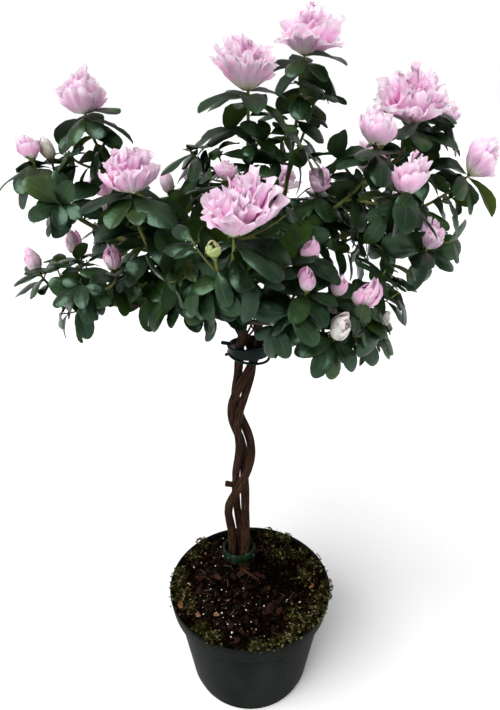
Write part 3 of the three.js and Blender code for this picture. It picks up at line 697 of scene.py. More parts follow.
TIE_HEIGHT, TIE_BAND, TIE_THICK, TIE_CLEAR = 346, 8, 1.8, 0.6
TIE_TABS = [(178, 3.5, 8, 3, 2.4, -0.15), (182, -4, 5, 2.4, 2, 0.3), (350, -1, 10, 3, 4.2, 0.5)]
TIE_STRANDS = [(350, 2.0), (341, -2.6)]  # height and lean of the loose strands wound round the band
STRAND_RADIUS, STRAND_OUT = 1.1, 1.6
CLIP_HEIGHT, CLIP_BAND, CLIP_THICK, CLIP_CLEAR = 121, 10, 1.6, 0.7
CLIP_TABS = [(235, 0, 5, 2.4, 7, 0.3), (330, -1, 5, 2.4, 6, 0.2)]


def oval_round_stems(height, band, clear):
    """The middle and half widths of the smallest oval that clears all stems over a band's height."""
    skin = []
    for stem in STEMS:
        for part in (-0.6, -0.3, 0, 0.3, 0.6):
            middle = stem_point(stem, height + part * band)
            skin += [Vector((middle.x, middle.y)) + (stem[1] + clear) * Vector((math.cos(a), math.sin(a)))
                     for a in np.linspace(0, 2 * math.pi, 12, endpoint=False)]
    low = Vector((min(at.x for at in skin), min(at.y for at in skin)))
    high = Vector((max(at.x for at in skin), max(at.y for at in skin)))
    middle, half = (low + high) / 2, (high - low) / 2
    swell = max(math.hypot((at.x - middle.x) / half.x, (at.y - middle.y) / half.y) for at in skin)
    return middle, half * swell


def ring_round_stems(height, band, thick, clear, segments=72):
    """A rounded band bent into an oval that clears the stems, with the oval's middle and half widths."""
    middle, half = oval_round_stems(height, band, clear)
    edge = thick * 0.35
    section = [
        (0, -band / 2), *arc((thick - edge, edge - band / 2), edge, -90, 0, 3),
        *arc((thick - edge, band / 2 - edge), edge, 0, 90, 3), (0, band / 2)]
    bm = turned([(half.x + out, up) for out, up in section], segments)
    for corner in bm.verts:
        corner.co.y *= half.y / half.x
    bmesh.ops.translate(bm, verts=bm.verts, vec=(middle.x, middle.y, height))
    return bm, middle, half


def add_tabs(bm, middle, half, height, tabs):
    """Tongues with rounded edges that stand out from a ring. A tab is its bearing, height over the ring's
    middle, length, width, thickness and tilt."""
    for bearing, over, length, wide, tall, tilt in tabs:
        start = polar(bearing, 1, 0)
        foot = Matrix.Translation((middle.x + half.x * start.x, middle.y + half.y * start.y, height + over))
        lie = Matrix.Rotation(math.radians(bearing), 4, "Z") @ Matrix.Rotation(tilt, 4, "Y")
        size = Matrix.Diagonal((length, wide, tall, 1))
        out = Matrix.Translation((0.42, 0, 0))
        tongue = bmesh.ops.create_cube(bm, size=1, matrix=foot @ lie @ size @ out)["verts"]
        edges = [edge for edge in bm.edges if set(edge.verts) <= set(tongue)]
        bmesh.ops.bevel(bm, geom=edges, offset=0.3 * min(wide, tall), affect="EDGES", segments=3,
                        profile=0.5, material=-1)


tie_plastic = grainy_finish("tie_plastic", (0.0015, 0.009, 0.0078), 0.35, 0.1)
roughen(tie_plastic, 800, 0.08)
tie_mesh, middle, half = ring_round_stems(TIE_HEIGHT, TIE_BAND, TIE_THICK, TIE_CLEAR)
add_tabs(tie_mesh, middle, half, TIE_HEIGHT, TIE_TABS)
for height, lean in TIE_STRANDS:
    loop = [Vector((middle.x + (half.x + STRAND_OUT) * math.cos(turn),
                    middle.y + (half.y + STRAND_OUT) * math.sin(turn),
                    height + lean * math.cos(turn + 0.4))) for turn in np.linspace(0, 2 * math.pi, 49)]
    add_tube(tie_mesh, Limb(loop), tapered(STRAND_RADIUS, STRAND_RADIUS), 8, 48)
close_tubes(tie_mesh)
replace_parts(piece_from(tie_mesh, "stem_tie", tie_plastic), "upper_tie")

clip_plastic = plain_finish("clip_plastic", (0.01, 0.025, 0.011), 0.45, 0.12)
mottle(clip_plastic, 90, [
    (0.35, (0.002, 0.005, 0.0026)), (0.6, (0.009, 0.024, 0.011)), (0.8, (0.035, 0.07, 0.03))])
clip_mesh, middle, half = ring_round_stems(CLIP_HEIGHT, CLIP_BAND, CLIP_THICK, CLIP_CLEAR)
for corner in clip_mesh.verts:
    turn = math.atan2(corner.co.y - middle.y, corner.co.x - middle.x)
    rise = (corner.co.z - CLIP_HEIGHT) / (CLIP_BAND / 2)
    ragged = noise.noise(Vector((2.2 * math.cos(turn), 2.2 * math.sin(turn), rise)))
    torn = noise.noise(Vector((5.2 * math.cos(turn), 5.2 * math.sin(turn), 0.7 * rise)))
    corner.co.z += 3.0 * ragged * rise - 2.6 * abs(torn) * max(rise, 0)
    flare = 1 + 0.05 * abs(rise) + 0.07 * ragged + 0.06 * torn
    corner.co.x = middle.x + (corner.co.x - middle.x) * flare
    corner.co.y = middle.y + (corner.co.y - middle.y) * flare
add_tabs(clip_mesh, middle, half, CLIP_HEIGHT, CLIP_TABS)
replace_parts(piece_from(clip_mesh, "foot_clip_ring", clip_plastic), "foot_clip")


# ------------------------------------------------------------------------------------------- boughs
# Slender limbs that fork off above the tie, the lowest first, and arch up into the crown. Their
# bark is thin: dark brown near the trunk, and green where the wood is young.

BOUGH_MAIN_RADIUS = 3.1
BOUGH_RADIUS = 2.4
BOUGH_TIP_RADIUS = 1.5
FIRST_FORK = 0.03
FORK_STEP = 0.065
BOUGH_FOLLOW = 0.5
ARCH = 0.34
TWIG_FIRST_FORK = 0.12
TWIG_FORK_STEP = 0.26
TWIG_FOLLOW = 0.7
GREENING = (0.37, 0.5)  # heights in metres, between which the bark turns from brown to green

# One row for each bough: the trunk stem that bears it, the share of its way at which it enters its
# own mass of foliage, the seed of that mass, and the mass's shoots. A shoot is bearing, reach,
# height, what it carries, its width, and how far it leans outwards.
CROWN = [
    ("top", 0, 0.52, 7, [
        (31, 42, 549, "open", 40, 0.1), (25, 50, 528, "leaves", 0, 0.2)]),
    ("top_front", 1, 0.6, 18, [
        (268, 30, 528, "open", 38, 0), (215, 46, 494, "leaves", 0, 0.5), (325, 40, 496, "leaves", 0, 0.4)]),
    ("left_high", 1, 0.66, 7, [
        (175, 110, 514, "open", 33, 0.1), (178, 122, 490, "leaves", 0, 0.2)]),
    ("left_tip", 1, 0.72, 76, [
        (184, 142, 486, "half", 17, 0.1), (181, 132, 484, "bud", 10, 0.1),
        (192, 120, 462, "leaves", 0, 0.4)]),
    ("left_middle", 2, 0.6, 51, [
        (226, 97, 476, "open", 32, 0), (193, 54, 464, "bud", 10, 0.3), (208, 72, 450, "leaves", 0, 0.6)]),
    ("left_low", 1, 0.6, 50, [
        (196, 144, 419, "bud", 11, 0.4), (180, 125, 420, "bud", 12, 0.2), (216, 103, 425, "bud", 11, 0.2)]),
    ("front", 2, 0.6, 43, [
        (266, 117, 462, "open", 38, 0.15), (262, 126, 452, "green", 7, 0.5), (255, 54, 478, "half", 13, 0.1),
        (244, 98, 440, "leaves", 0, 0.6), (284, 84, 452, "leaves", 0, 0.5)]),
    ("right_high", 0, 0.66, 1, [
        (5, 110, 508, "open", 46, 0), (11, 135, 506, "half", 15, 0.7), (14, 124, 512, "half", 26, 0.3)]),
    ("right_middle", 0, 0.6, 1, [
        (332, 86, 496, "half", 25, 0.1), (331, 105, 470, "half", 24, 0.1), (343, 62, 490, "leaves", 0, 0.4)]),
    ("right_tip", 0, 0.6, 71, [
        (4, 153, 474, "open", 27, 0.9), (347, 120, 431, "half", 20, 0.4), (350, 96, 436, "leaves", 0, 0.3)]),
    ("middle", 0, 0.5, 36, [
        (336, 48, 466, "half", 17, 0.2), (352, 76, 440, "leaves", 0, 0.4), (300, 52, 447, "leaves", 0, 0.5)]),
    ("front_right", 2, 0.55, 54, [
        (288, 102, 425, "bud", 10, 0.4), (291, 90, 438, "bud", 10, 0.3), (302, 95, 417, "bud", 10, 0.5)]),
    ("right_low", 0, 0.55, 9, [
        (311, 100, 407, "half", 15, 0.4), (299, 104, 394, "half", 13, 0.7), (322, 104, 390, "bud", 9, 0.6),
        (334, 100, 418, "leaves", 0, 0.5)]),
    ("left_skirt", 1, 0.5, 1, [
        (238, 84, 416, "leaves", 0, 0.6), (212, 90, 428, "leaves", 0, 0.5), (262, 74, 422, "leaves", 0, 0.6),
        (195, 92, 412, "leaves", 0, 0.5)]),
    ("back_high", 2, 0.6, 71, [
        (98, 62, 470, "leaves", 0, 0.3), (124, 76, 458, "half", 18, 0.4), (78, 90, 450, "open", 34, 0.4)]),
    ("back_left", 2, 0.6, 8, [
        (150, 124, 452, "open", 32, 0.4), (163, 112, 434, "bud", 11, 0.5),
        (134, 106, 430, "leaves", 0, 0.5)]),
    ("back_right", 0, 0.6, 31, [
        (40, 122, 466, "open", 34, 0.4), (24, 116, 440, "bud", 11, 0.5), (58, 104, 440, "half", 18, 0.5)]),
    ("back_low", 2, 0.55, 15, [
        (96, 112, 432, "open", 33, 0.4), (114, 98, 412, "bud", 10, 0.5), (76, 96, 408, "leaves", 0, 0.6)])]


def shoot_tip(shoot):
    return polar(*shoot[:3])


def limb_to(root, start, shoot):
    """A limb that sets off along start and ends upwards at a shoot's tip, with the shoot's lean."""
    tip = shoot_tip(shoot)
    arch = ARCH * (tip - root).length
    early = root + start * arch
    late = tip - polar(shoot[0], shoot[5], 1).normalized() * arch
    points = []
    for step in range(65):
        share = step / 64
        rest = 1 - share
        points.append(rest ** 3 * root + 3 * rest ** 2 * share * early + 3 * rest * share ** 2 * late
                      + share ** 3 * tip)
    return Limb(points)


def leader_line(bough):
    """The highest bough of a stem runs straight on from it, and the others leave that bough."""
    family = sorted((row for row in CROWN if row[1] == bough[1]), key=lambda row: row[4][0][2])
    main = family[-1]
    root = stem_point(STEMS[bough[1]], TRUNK_TOP - 3)
    onward = shoot_tip(main[4][0]) - root
    onward.z *= 0.8
    main_line = limb_to(root, onward.normalized(), main[4][0])
    if bough is main:
        return main_line
    share = FIRST_FORK + FORK_STEP * family.index(bough)
    fork = main_line.at(share)
    outward = (shoot_tip(bough[4][0]) - fork).normalized()
    start = (outward + BOUGH_FOLLOW * main_line.heading(share)).normalized()
    return limb_to(fork, start, bough[4][0])


def side_line(leader, share, shoot):
    """A side shoot leaves the leader inside the mass and bends up to its own tip."""
    root = leader.at(share)
    start = (shoot_tip(shoot) - root).normalized() + TWIG_FOLLOW * leader.heading(share)
    return limb_to(root, start.normalized(), shoot)


young_bark = plain_finish("young_bark", (0.06, 0.035, 0.02), 0.7, 0.15)
height_of = add_node(young_bark, "SeparateXYZ", "Z", Vector=coordinates(young_bark))
shade(young_bark, Base_Color=ramp_of(young_bark, ranged(young_bark, height_of, *GREENING), [
    (0.0, (0.02, 0.009, 0.005)), (0.35, (0.048, 0.038, 0.014)), (0.8, (0.12, 0.135, 0.034))]))
roughen(young_bark, 5, 0.35, 6, "grain")

crown_limbs = [leader_line(bough) for bough in CROWN]
for number, (bough, leader) in enumerate(zip(CROWN, crown_limbs)):
    name, enter = bough[0], bough[2]
    is_main = leader.at(0).z < TRUNK_TOP
    radius = tapered(BOUGH_MAIN_RADIUS if is_main else BOUGH_RADIUS, BOUGH_TIP_RADIUS)
    bough_mesh = bmesh.new()
    add_tube(bough_mesh, leader.between(0, enter + 0.02), radius, 14, 44, bark_relief(number * 3.7, 0.16))
    close_tubes(bough_mesh)
    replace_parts(piece_from(bough_mesh, "limb_" + name, young_bark), "bough_" + name)


# Thin bare twigs fan out from the fork, left behind by shoots that have died back: bearing, reach, height.
BARE_TWIGS = [(348, 34, 368), (15, 36, 398), (300, 26, 404), (235, 26, 402), (205, 30, 396), (170, 36, 400),
              (130, 34, 398), (75, 30, 402)]
BARE_TWIG_RADIUS = 0.95


def curved(root, knee, tip, steps):
    """A line that leaves root towards knee and bends round to tip."""
    return Limb([root.lerp(knee, t).lerp(knee.lerp(tip, t), t) for t in np.linspace(0, 1, steps)])


bare_mesh = bmesh.new()
for number, place in enumerate(BARE_TWIGS):
    root = stem_point(STEMS[number % len(STEMS)], TRUNK_TOP - 12 + 1.5 * number)
    tip = polar(*place)
    knee = root.lerp(tip, 0.45) + polar(place[0] + 90, 2.5 * (-1) ** number, 2.5)
    add_tube(bare_mesh, curved(root, knee, tip, 14), tapered(BARE_TWIG_RADIUS, BARE_TWIG_RADIUS / 2), 8, 13,
             bark_relief(number, 0.1))
close_tubes(bare_mesh)
piece_from(bare_mesh, "bare_twigs", young_bark)


# -------------------------------------------------------------------------------------------- twigs
# This year's shoots: green, smooth and barely thicker than a leaf stalk. Each mass is a leader
# with its side shoots, and each side shoot ends in a whorl of leaves, most of them with a bloom.

TWIG_ROOT_RADIUS = 1.5
TWIG_SIDE_RADIUS = 1.15
TWIG_TIP_RADIUS = 0.8

masses = []
twig_mesh = bmesh.new()
for (name, _, enter, seed, shoots), leader in zip(CROWN, crown_limbs):
    mass = []
    for number, shoot in enumerate(shoots):
        share = enter + (1 - enter) * (TWIG_FIRST_FORK + TWIG_FORK_STEP * (number - 1))
        line = leader.between(enter, 1) if number == 0 else side_line(leader, share, shoot)
        radius = tapered(TWIG_ROOT_RADIUS if number == 0 else TWIG_SIDE_RADIUS, TWIG_TIP_RADIUS)
        add_tube(twig_mesh, line, radius, 8, 20)
        mass.append((shoot, line))
    masses.append((name, seed, mass))

# Twiglets: the finest side shoots, each with a rosette of small leaves.
TWIGLETS = 3  # on each shoot
TWIGLET_TOP = {"top_front": 506, "middle": 500, "front": 480}  # above this a mass has none
TWIGLET_USUAL_TOP = 462
TWIGLET_REACH = (13, 30)
TWIGLET_RADIUS = 0.75
SPURRED = ("back_high", "back_left", "back_right", "back_low")  # boughs with twiglets of their own
SPUR_SHARES = (0.36, 0.46, 0.56, 0.66, 0.76)
twiglet_chance = np.random.default_rng(27)
rosettes = []


def twiglet_on(line, share, turned_by):
    """A short side shoot that leaves a line at a share of its length and turns upwards."""
    reach = twiglet_chance.uniform(*TWIGLET_REACH)
    bearing = math.radians(turned_by + twiglet_chance.uniform(0, 360))
    onward = line.heading(share)
    outward = Matrix.Rotation(bearing, 3, onward) @ onward.orthogonal().normalized()
    root = line.at(share)
    knee = root + (0.7 * outward + 0.6 * onward).normalized() * reach * 0.5
    tip = knee + (outward + onward + Vector((0, 0, 0.9))).normalized() * reach * 0.5
    return curved(root, knee, tip, 12)


def grow_twiglet(twiglet):
    add_tube(twig_mesh, twiglet, tapered(TWIGLET_RADIUS, 0.6 * TWIGLET_RADIUS), 5, 6)
    rosettes.append(twiglet)


for name, _, mass in masses:
    low, high = (Vector(corner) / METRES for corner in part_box("foliage_" + name))
    for _, line in mass:
        for number in range(TWIGLETS):
            share = 0.15 + 0.22 * number + twiglet_chance.uniform(-0.06, 0.06)
            twiglet = twiglet_on(line, share, GOLDEN_ANGLE * number)
            tip = twiglet.at(1)
            in_reach = all(low[axis] < tip[axis] < high[axis] for axis in range(3))
            if in_reach and tip.z < TWIGLET_TOP.get(name, TWIGLET_USUAL_TOP):
                grow_twiglet(twiglet)
for row, leader in zip(CROWN, crown_limbs):
    if row[0] in SPURRED:
        for number, share in enumerate(SPUR_SHARES):
            grow_twiglet(twiglet_on(leader, share, GOLDEN_ANGLE * number))

close_tubes(twig_mesh)
twig_green = plain_finish("twig_green", (0.12, 0.14, 0.035), 0.55, 0.2)
mottle(twig_green, 60, [
    (0.35, (0.05, 0.05, 0.013)), (0.52, (0.11, 0.13, 0.03)), (0.7, (0.19, 0.22, 0.05))])
piece_from(twig_mesh, "twigs", twig_green)


# ------------------------------------------------------------------------------------------- leaves
# Leathery evergreen leaves on short stalks, dark and faintly glossy above and paler below. They
# stand in a whorl under each tip and singly down the shoot, and are creased along the midrib.

LEAF_LENGTH = 31
LEAF_WIDTH = 0.5
LEAF_SIZE = {"open": 1.04, "half": 0.98, "bud": 0.78, "green": 0.78, "leaves": 0.86}
LEAF_LEAST, LEAF_LEAST_BELOW, LEAF_SPREAD = 0.8, 0.66, 0.34  # least size in and below the whorl, and spread
LEAF_SUNK = 0.7  # how far a stalk reaches into its twig
SWAY_ROUND_TWIG = 30
WHORL, WHORL_START, WHORL_STEP = 7, 1.5, 0.9
BELOW = {"open": 10, "half": 6, "bud": 5, "green": 5, "leaves": 6}  # leaves below the whorl
BELOW_STEP = {"open": 5.2, "half": 7.5, "bud": 9, "green": 9, "leaves": 7.5}
BELOW_START = 10
BARE_ROOT = 0.06
PITCH = {"open": 70, "half": 66, "bud": 56, "green": 60, "leaves": 62}  # from the twig, in degrees
PITCH_SPREAD, PITCH_BELOW, PITCH_BELOW_SPREAD = 30, 58, 34
HANG = {"open": 0.32, "half": 0.28, "bud": 0.05, "green": 0.1, "leaves": 0.16}
HANG_BELOW = 0.42
UNDERSIDE = 362  # no leaf hangs below this height
HOLLOW_UNDER = 38  # the crown is this much hollower in its middle
HOLLOW_REACH = (45, 95)
BLOOM_MIDDLE, BLOOM_ROOM = 0.42, 0.36  # shares of a bloom's width, of the space that leaves keep out of
BLOOM_MARGIN = {"open": 3, "half": 4, "bud": 3, "green": 10}
LEAF_ROOM = 6.5  # least distance between the middles of two leaves
ROSETTE_LEAVES, ROSETTE_STEP, ROSETTE_SUNK = 6, 0.09, 0.4
ROSETTE_LENGTHS = (15, 25)
ROSETTE_PITCH, ROSETTE_HANG = (48, 88), 0.15
LEAF_ROWS = (0, 0.09, 0.22, 0.38, 0.56, 0.74, 0.88, 0.965, 1)
LEAF_WIDEST = 0.58  # as a share of its length
LEAF_COLUMNS = 4


def seeded(seed):
    """A repeatable run of numbers from 0 to 1."""
    state = seed * 48271 + 11
    while True:
        state = state * 16807 % 2147483647
        yield state / 2147483647


def leaning(axis, side, bearing, pitch, hang):
    """A heading that leans by pitch from an axis, at a bearing round it from a side, and hangs down."""
    outward = Matrix.Rotation(math.radians(bearing), 3, axis) @ side.normalized()
    heading = outward * math.sin(math.radians(pitch)) + axis * math.cos(math.radians(pitch))
    heading.z -= hang
    return heading.normalized()


def blade(root, along, up, length):
    """A leaf or scale: its foot, its heading, the way that its upper side faces, and its length."""
    return {"root": root, "along": along, "face": (up - along * up.dot(along)).normalized(), "length": length}


def shoot_leaves(shoot, line, chance):
    """The leaves of one shoot, each turned on from the last by the golden angle."""
    carries = shoot[3]
    turn_start = next(chance) * 360
    leaves = []
    for i in range(WHORL + BELOW[carries]):
        in_whorl = i < WHORL
        back = (WHORL_START + i * WHORL_STEP if in_whorl
                else BELOW_START + (i - WHORL) * BELOW_STEP[carries])
        sway, tilt, size = next(chance), next(chance), next(chance)
        if back > line.length * (1 - BARE_ROOT):
            break
        axis = line.heading(1 - back / line.length)
        level = Vector((0, 0, 1)) if axis.z < 0.95 else Vector((1, 0, 0))
        bearing = turn_start + i * GOLDEN_ANGLE + (sway - 0.5) * SWAY_ROUND_TWIG
        pitch = PITCH[carries] + tilt * PITCH_SPREAD if in_whorl else PITCH_BELOW + tilt * PITCH_BELOW_SPREAD
        hang = max(axis.z, 0) * (HANG[carries] if in_whorl else HANG_BELOW)
        along = leaning(axis, axis.cross(level), bearing, pitch, hang)
        grown = (LEAF_LEAST if in_whorl else LEAF_LEAST_BELOW) + LEAF_SPREAD * size
        root = line.at(1 - back / line.length) - along * LEAF_SUNK
        leaves.append(blade(root, along, axis, LEAF_LENGTH * LEAF_SIZE[carries] * grown))
    return leaves


def rosette_leaves(twiglet, chance):
    """The small leaves round the tip of a twiglet."""
    turn_start = chance.uniform(0, 360)
    leaves = []
    for i in range(ROSETTE_LEAVES):
        share = 1 - i * ROSETTE_STEP
        axis = twiglet.heading(share)
        along = leaning(axis, axis.orthogonal(), turn_start + i * GOLDEN_ANGLE + chance.uniform(-15, 15),
                        chance.uniform(*ROSETTE_PITCH), ROSETTE_HANG)
        root = twiglet.at(share) - along * ROSETTE_SUNK
        leaves.append(blade(root, along, axis, chance.uniform(*ROSETTE_LENGTHS)))
    return leaves


def two_faced_blade(rows, columns):
    """A flat blade of two skins that meet at its edge: x along it from 0 to 1, y across it from
    -1 to 1, and z 1 on the upper skin, -1 on the lower one and 0 at the edge."""
    bm = bmesh.new()
    bmesh.ops.create_grid(bm, x_segments=len(rows) - 1, y_segments=columns, size=1)
    for corner in bm.verts:
        corner.co.x = rows[round((corner.co.x + 1) / 2 * (len(rows) - 1))]
    lower = bmesh.ops.duplicate(bm, geom=bm.verts[:] + bm.edges[:] + bm.faces[:])["geom"]
    under = [part for part in lower if isinstance(part, bmesh.types.BMFace)]
    bmesh.ops.reverse_faces(bm, faces=under)
    for corner in bm.verts:
        at_edge = abs(corner.co.y) > 0.999 or corner.co.x in (rows[0], rows[-1])
        corner.co.z = 0 if at_edge else 1
    for corner in [part for part in lower if isinstance(part, bmesh.types.BMVert)]:
        corner.co.z = -corner.co.z
    bmesh.ops.remove_doubles(bm, verts=bm.verts, dist=0.0001)
    bm.verts.index_update()
    shape = np.array([corner.co for corner in bm.verts])
    faces = np.array([[corner.index for corner in face.verts] for face in bm.faces])
    is_under = shape[faces].mean(axis=1)[:, 2] < 0
    bm.free()
    return shape, faces, is_under


def joined_blades(name, corners, faces, finish_numbers, shape, finishes):
    """Joins bent blades, given as an array of copies by corners by place, into one piece."""
    copies, count = corners.shape[:2]
    all_faces = (faces[None] + count * np.arange(copies)[:, None, None]).reshape(-1, 4)
    piece = joined_piece(name, corners.reshape(-1, 3), all_faces.tolist(),
                         finish_numbers.ravel().astype(np.int32), finishes, True)
    mesh = piece.data
    at_edge = shape[:, 2] == 0
    ends = np.zeros(2 * len(mesh.edges), dtype=np.int32)
    mesh.edges.foreach_get("vertices", ends)
    mesh.edges.foreach_set("use_edge_sharp", at_edge[ends.reshape(-1, 2) % count].all(axis=1))
    blade_map = (shape[:, [1, 0]] + (1, 0)) * (0.5, 1)
    layer = mesh.uv_layers.new(name="blade")
    layer.data.foreach_set("uv", np.tile(blade_map[faces].reshape(-1, 2), (copies, 1)).ravel())
    mesh.update()
    return piece


def leaf_half_width(along):
    """The outline: narrow on its short stalk, widest past the middle, and blunt at the tip."""
    below = np.sin(np.pi / 2 * np.clip((along - 0.05) / (LEAF_WIDEST - 0.05), 0, 1)) ** 0.95
    above = np.sqrt(np.clip(1 - ((along - LEAF_WIDEST) / (1.005 - LEAF_WIDEST)) ** 2.3, 0, 1))
    return np.maximum(np.where(along < LEAF_WIDEST, below, above), 0.07)


def column(rows, key):
    """One entry of every row, as an array that is one deeper than the entry."""
    return np.array([row[key] for row in rows])[:, None]


def bent_leaves(leaves, shape, chance):
    """Every corner of every leaf: bent down along its length, arched across, creased and rolled."""
    count = len(leaves)
    root, along, face, length = (column(leaves, key) for key in ("root", "along", "face", "length"))
    across = np.cross(face, along)
    roll = chance.normal(0, 0.2, (count, 1, 1))
    rolled = face * np.cos(roll) + across * np.sin(roll)
    across = across * np.cos(roll) - face * np.sin(roll)
    x, y, side = shape.T[:, None]
    bend = chance.uniform(0.15, 0.75, (count, 1))
    reach = length * np.sin(bend * x) / bend
    drop = length * (1 - np.cos(bend * x)) / bend
    half = leaf_half_width(x) * length * LEAF_WIDTH / 2 * chance.uniform(0.88, 1.12, (count, 1))
    arch = chance.uniform(-0.1, 0.3, (count, 1))
    crease = 0.18 * np.exp(-(y / 0.3) ** 2)
    wave = 0.1 * np.sin(x * 9 + chance.uniform(0, 6.3, (count, 1))) * y ** 2 * np.sign(y)
    lift = half * (0.35 - arch * 1.6 * y ** 2 - crease + wave) - drop + 0.12 * side
    return root + along * reach[..., None] + across * (y * half)[..., None] + rolled * lift[..., None]


leaves = []
blooms = []
for name, seed, mass in masses:
    chance = seeded(seed)
    for shoot, line in mass:
        grown = shoot_leaves(shoot, line, chance)
        leaves += grown
        if shoot[3] != "leaves":
            blooms.append((name, shoot, line, next(chance) * 360))
for twiglet in rosettes:
    leaves += rosette_leaves(twiglet, twiglet_chance)


def is_clear(leaf):
    """Whether a leaf keeps over the crown's underside and out of every bloom."""
    tip = leaf["root"] + leaf["length"] * leaf["along"]
    if tip.z < UNDERSIDE + HOLLOW_UNDER * (1 - smooth_step(math.hypot(tip.x, tip.y), *HOLLOW_REACH)):
        return False
    for _, shoot, line, _ in blooms:
        middle = line.at(1) + line.heading(1) * shoot[4] * BLOOM_MIDDLE
        room = shoot[4] * BLOOM_ROOM + BLOOM_MARGIN[shoot[3]]
        if any((leaf["root"].lerp(tip, share) - middle).length < room for share in (0.3, 0.55, 0.8, 1)):
            return False
    return True


roomy = []
for leaf in filter(is_clear, leaves):
    middle = leaf["root"] + 0.6 * leaf["length"] * leaf["along"]
    if all((middle - other).length > LEAF_ROOM for other, _ in roomy):
        roomy.append((middle, leaf))
leaves = [leaf for _, leaf in roomy]

LEAF_TONES = {  # name: (dark, middle, light) colours of the upper side, and the share of leaves
    "deep": ((0.0018, 0.0055, 0.0016), (0.0055, 0.014, 0.0042), (0.014, 0.03, 0.0105), 0.6),
    "fresh": ((0.0028, 0.0085, 0.0014), (0.0085, 0.021, 0.0034), (0.02, 0.041, 0.0075), 0.33),
    "young": ((0.01, 0.016, 0.0022), (0.018, 0.029, 0.0038), (0.03, 0.046, 0.006), 0.07)}


def calculated(material, operation, *values):
    """The result of a sum over values and outputs of other nodes."""
    result = add_node(material, "Math", "Value", operation=operation)
    for socket, value in zip(result.node.inputs, values):
        feed(material, socket, value)
    return result


def ribbed(material, light):
    """Draws the paler midrib of a leaf along its own map."""
    across = add_node(material, "SeparateXYZ", "X", Vector=coordinates(material, "UV"))
    off = calculated(material, "ABSOLUTE", calculated(material, "SUBTRACT", across, 0.5))
    lay_over(material, ranged(material, off, 0.012, 0.045, 0.4, 0.0), light)


leaf_finishes = []
for tone, (dark, middle, light, _) in LEAF_TONES.items():
    upper = plain_finish("leaf_" + tone + "_upper", middle, 0.32, Specular_Tint=(0.6, 1.0, 0.72, 1))
    mottle(upper, 55, [(0.35, dark), (0.5, middle), (0.7, light)])
    ribbed(upper, [2.0 * part for part in light])
    roughen(upper, 330, 0.28)
    under = [1.7 * part for part in light]
    lower = plain_finish("leaf_" + tone + "_under", under, 0.6, 0.1)
    mottle(lower, 70, [(0.35, [0.8 * part for part in under]), (0.65, [1.2 * part for part in under])])
    leaf_finishes += [upper, lower]

leaf_chance = np.random.default_rng(33)
leaf_shape, leaf_faces, leaf_under = two_faced_blade(LEAF_ROWS, LEAF_COLUMNS)
leaf_tones = leaf_chance.choice(3, len(leaves), p=[tone[3] for tone in LEAF_TONES.values()])
foliage = joined_blades(
    "leaves", bent_leaves(leaves, leaf_shape, leaf_chance), leaf_faces,
    2 * leaf_tones[:, None] + leaf_under[None], leaf_shape, leaf_finishes)
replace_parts(foliage, *["foliage_" + row[0] for row in CROWN])


# A few dried leaves lie on the peat: place, bearing and length.
FALLEN_LEAVES = [(20, -27, 255, 14), (-14, 4, 20, 11), (-27, 0, 140, 11), (6, 6, 330, 10)]
fallen = [
    blade(Vector((x, y, soil_height(x, y) + 1.2)), polar(bearing, 1, 0.25).normalized(),
          Vector((0.2, -0.4, 1)), length) for x, y, bearing, length in FALLEN_LEAVES]
dried = plain_finish("leaf_dried", (0.022, 0.008, 0.005), 0.7, 0.05)
mottle(dried, 160, [(0.35, (0.011, 0.0045, 0.003)), (0.65, (0.042, 0.015, 0.009))])
joined_blades(
    "fallen_leaves", bent_leaves(fallen, leaf_shape, leaf_chance), leaf_faces,
    np.zeros((len(fallen), len(leaf_faces))), leaf_shape, [dried])


# ------------------------------------------------------------------------------------------- blooms
# Double blooms with rings of thin ruffled petals: deep pink in the heart, pale towards the edge
# and greenish white at the base. Buds are furled petals that stand out of brown bud scales.

# Colours along a petal, from its base to its rim.
PETAL_TONES = {
    "petal_skirt": [(0.0, (0.55, 0.56, 0.26)), (0.12, (0.93, 0.74, 0.68)), (0.34, (0.97, 0.5, 0.78)),
                    (0.72, (0.98, 0.64, 0.87)), (0.96, (0.99, 0.88, 0.95))],
    "petal_inner": [(0.0, (0.7, 0.38, 0.38)), (0.32, (0.97, 0.29, 0.63)), (0.74, (0.98, 0.46, 0.81)),
                    (0.97, (0.99, 0.78, 0.93))],
    "petal_heart": [(0.0, (0.8, 0.18, 0.36)), (0.5, (0.97, 0.24, 0.6)), (0.97, (0.98, 0.56, 0.84))],
    "bud_outer": [(0.0, (0.42, 0.4, 0.16)), (0.18, (0.9, 0.66, 0.6)), (0.6, (0.97, 0.52, 0.76)),
                  (1.0, (0.93, 0.3, 0.6))],
    "bud_inner": [(0.0, (0.7, 0.6, 0.45)), (0.5, (0.97, 0.72, 0.88)), (1.0, (0.95, 0.46, 0.74))],
    "bud_green": [(0.0, (0.12, 0.16, 0.03)), (0.5, (0.32, 0.38, 0.1)), (1.0, (0.5, 0.52, 0.22))],
    "petal_faded": [(0.0, (0.25, 0.15, 0.08)), (0.4, (0.62, 0.47, 0.4)), (1.0, (0.82, 0.68, 0.68))],
    "petal_cupped": [(0.0, (0.5, 0.5, 0.2)), (0.16, (0.92, 0.78, 0.6)), (0.4, (0.97, 0.52, 0.76)),
                     (0.72, (0.98, 0.45, 0.78)), (0.97, (0.99, 0.74, 0.91))],
    "petal_pale": [(0.0, (0.3, 0.17, 0.07)), (0.3, (0.85, 0.72, 0.62)), (1.0, (0.9, 0.76, 0.79))]}

